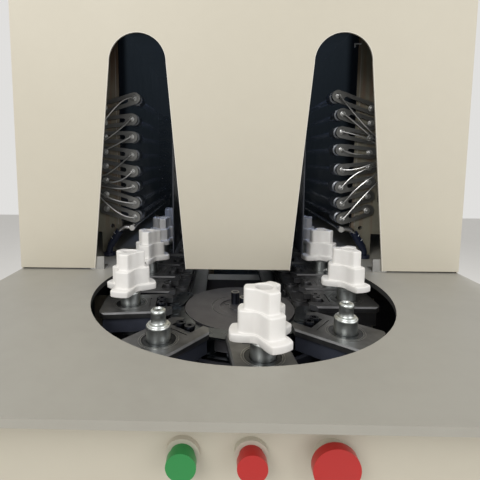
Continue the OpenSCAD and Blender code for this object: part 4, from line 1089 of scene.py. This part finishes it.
@dataclass
class OvenTrims:
    """Small parts of the two ovens: rings, light strips down the posts as painted highlight of a fold,
    hook, hose marks, and dark sheets at the back as painted shade.

    Its sizes are in millimetres from the front sprocket's axis at the table's top. A ring of a lamp
    is its distance before the front lamp arms, its mean radius and the radius of its section. The
    spans of the hose marks are in degrees round the hose.
    """

    lamp_rings: tuple[tuple[float, float, float], ...] = ((6.1, 4.5, 0.75), (9.2, 2.3, 0.5))
    seam_x: float = 240
    seam_half: float = 0.5
    seam_z: tuple[float, float] = (60, 430)
    sunk: float = 1
    hose_x: float = 254
    hose_y: float = LAMP_Y - 20
    hose_foot: float = 8
    hose_turn: float = 26
    hose_lean: float = 31
    mark_r: float = 7.3
    mark_tube: float = 0.7
    mark_steps: tuple[float, float] = (15, 26)
    right_span: tuple[float, float] = (200, 290)
    left_span: tuple[float, float] = (250, 340)
    skin_x: tuple[float, float] = (112, 372)
    skin_y: tuple[float, float] = (694, 696)
    skin_z: tuple[float, float] = (90, 500)
    hook_x: tuple[float, float] = (224, 237)
    hook_z: tuple[float, float] = (409, 416.5)
    hook_out: float = 6
    hook_t: float = 2
    ring_sides: int = 28
    tube_sides: int = 8

    def torus(self, place: Point, axis: Point, radius: float, tube: float,
              span: tuple[float, float] = (0.0, 360.0)) -> Shape:
        """Build a ring, or an arc of one with closed ends, about an axis.

        A point at the turn t round the axis and u round the tube lies at the centre plus
        (radius + tube cos u) along the turned arm plus tube sin u along the axis.

        Args:
            place: The ring's middle.
            axis: The direction of its axis.
            radius: Its mean radius.
            tube: Radius of its section.
            span: First and last turn in degrees.

        Returns:
            Its points and faces.
        """
        along = np.array(axis, dtype=float)
        along /= np.linalg.norm(along)
        first = np.cross(along, (0.0, 0.0, 1.0))
        first /= np.linalg.norm(first)
        second = np.cross(along, first)
        rings, sides = self.ring_sides, self.tube_sides
        whole = span[1] - span[0] >= 360
        t = np.radians(np.linspace(span[0], span[1], rings, endpoint=not whole))
        u = np.linspace(0, 2 * math.pi, sides, endpoint=False)
        t, u = (g.ravel() for g in np.meshgrid(t, u, indexing="ij"))
        arm = radius + tube * np.cos(u)
        points = (np.array(place) + np.outer(arm * np.cos(t), first) + np.outer(arm * np.sin(t), second)
                  + np.outer(tube * np.sin(u), along))
        faces = grid_faces(rings, sides, wrap=whole, flip=True)
        if not whole:
            faces += [list(range(sides)), list(range((rings - 1) * sides, rings * sides))[::-1]]
        return points, faces

    @staticmethod
    def box(low: Point, high: Point) -> Shape:
        """Build a box.

        Args:
            low: Its lowest corner.
            high: Its highest corner.

        Returns:
            Its points and faces.
        """
        ends = low, high
        points = [[ends[i][0], ends[j][1], ends[k][2]] for i in (0, 1) for j in (0, 1) for k in (0, 1)]
        faces = [[0, 1, 3, 2], [4, 6, 7, 5], [0, 4, 5, 1], [2, 3, 7, 6], [0, 2, 6, 4], [1, 5, 7, 3]]
        return np.array(points, dtype=float), faces

    @staticmethod
    def join(parts: list[Shape]) -> Shape:
        """Join shapes into one.

        Args:
            parts: The shapes, in millimetres.

        Returns:
            Points in metres and faces.
        """
        points = np.concatenate([verts for verts, _ in parts])
        faces, start = [], 0
        for verts, polys in parts:
            faces += [[start + v for v in poly] for poly in polys]
            start += len(verts)
        return points * MM + np.array([0.0, FRONT_Y, TABLE_Z]), faces

    def rings(self, side: int, lamps: tuple[tuple[float, float], ...]) -> list[Shape]:
        """Build the bright rings on each lamp's nut and screw end.

        Args:
            side: 1 for the right oven and -1 for the left.
            lamps: How far each lamp head stands from its row.

        Returns:
            The rings.
        """
        shapes = []
        for i, (dx, dz) in enumerate(lamps):
            for before, radius, tube in self.lamp_rings:
                place = (side * (LAMP_X + dx), LAMP_Y - before, LAMP_LOW + LAMP_STEP * i + dz)
                shapes.append(self.torus(place, (0.0, 1.0, 0.0), radius, tube))
        return shapes

    def seam(self, side: int) -> Shape:
        """Build the light strip down the post of one side, a painted highlight of its fold."""
        x, half, (low, high) = side * self.seam_x, self.seam_half, self.seam_z
        return self.box((x - half, LAMP_Y - half, low), (x + half, LAMP_Y + self.sunk, high))

    def marks(self, side: int) -> list[Shape]:
        """Build the white marks, arcs across the front of the hose's leaning sleeve.

        The sleeve's axis starts at the end of the elbow, whose middle is a turn's radius inwards
        of the hose, and leans inwards.

        Args:
            side: 1 for the right hose and -1 for the left.

        Returns:
            The marks.
        """
        lean, turn = math.radians(self.hose_lean), self.hose_turn
        start = np.array([side * (self.hose_x - turn + turn * math.cos(lean)), self.hose_y,
                          self.hose_foot + turn * math.sin(lean)])
        axis = np.array([-side * math.sin(lean), 0.0, math.cos(lean)])
        span = self.right_span if side > 0 else self.left_span
        return [self.torus(tuple(start + axis * t), tuple(axis), self.mark_r, self.mark_tube, span)
                for t in self.mark_steps]

    def skins(self) -> list[Shape]:
        """Build thin dark sheets at the back of both ovens, as painted shade there."""
        (x0, x1), (y0, y1), (z0, z1) = self.skin_x, self.skin_y, self.skin_z
        return [self.box((-x1, y0, z0), (-x0, y1, z1)), self.box((x0, y0, z0), (x1, y1, z1))]

    def hook(self) -> list[Shape]:
        """Build the hook at the right post's top.

        Returns:
            Its bar, its lug back to the post and its lip.
        """
        (x0, x1), (z0, z1), t = self.hook_x, self.hook_z, self.hook_t
        front = LAMP_Y - self.hook_out
        return [self.box((x0, front, z1 - t), (x1, front + t, z1)),
                self.box((x1 - t, front + t, z1 - t), (x1, LAMP_Y + self.sunk, z1)),
                self.box((x0, front, z0), (x0 + t, front + t, z1 - t))]

    def build(self, finishes: Finishes) -> None:
        """Build the trims of both ovens.

        Args:
            finishes: The machine's finishes.
        """
        jobs = []
        for side, name, lamps in ((1, "right", LAMPS_RIGHT), (-1, "left", LAMPS_LEFT)):
            jobs += [
                (Piece(f"{name}_lamp_rings", BASE, "bright_steel"), self.rings(side, lamps), Finishes.BRIGHT),
                # The post strips are light as a painted highlight of a fold.
                (Piece(f"{name}_post_fold_highlight", BASE, "olive", smooth=False), [self.seam(side)], Finishes.FOLD_HIGHLIGHT),
                (Piece(f"{name}_hose_marks", BASE, "wire"), self.marks(side), Finishes.MARK)]
        jobs += [
            # Dark sheets as painted shade at the back of both ovens.
            (Piece("oven_back_shade_sheets", BASE, "oven_sheet", smooth=False), self.skins(), Finishes.OVEN),
            # The polished hook is drawn in the white of the marks, a painted sheen.
            (Piece("post_hook", BASE, "bright_steel", smooth=False), self.hook(), Finishes.MARK)]
        for piece, shapes, finish in jobs:
            piece.build(self.join(shapes), finishes.get(finish))


def main() -> None:
    """Build the stage and every piece, then note the sizes."""
    logging.basicConfig(level=logging.INFO, format="%(message)s")
    finishes = Finishes(ShaderKit())
    studio = Studio()
    studio.camera()
    studio.lights()
    studio.floor(finishes)
    finishes.dress_nodes()
    for assembly in (CapSet(), SpindleSet(), SlotRims(), OvenTrims()):
        assembly.build(finishes)


if __name__ == "__main__":
    main()
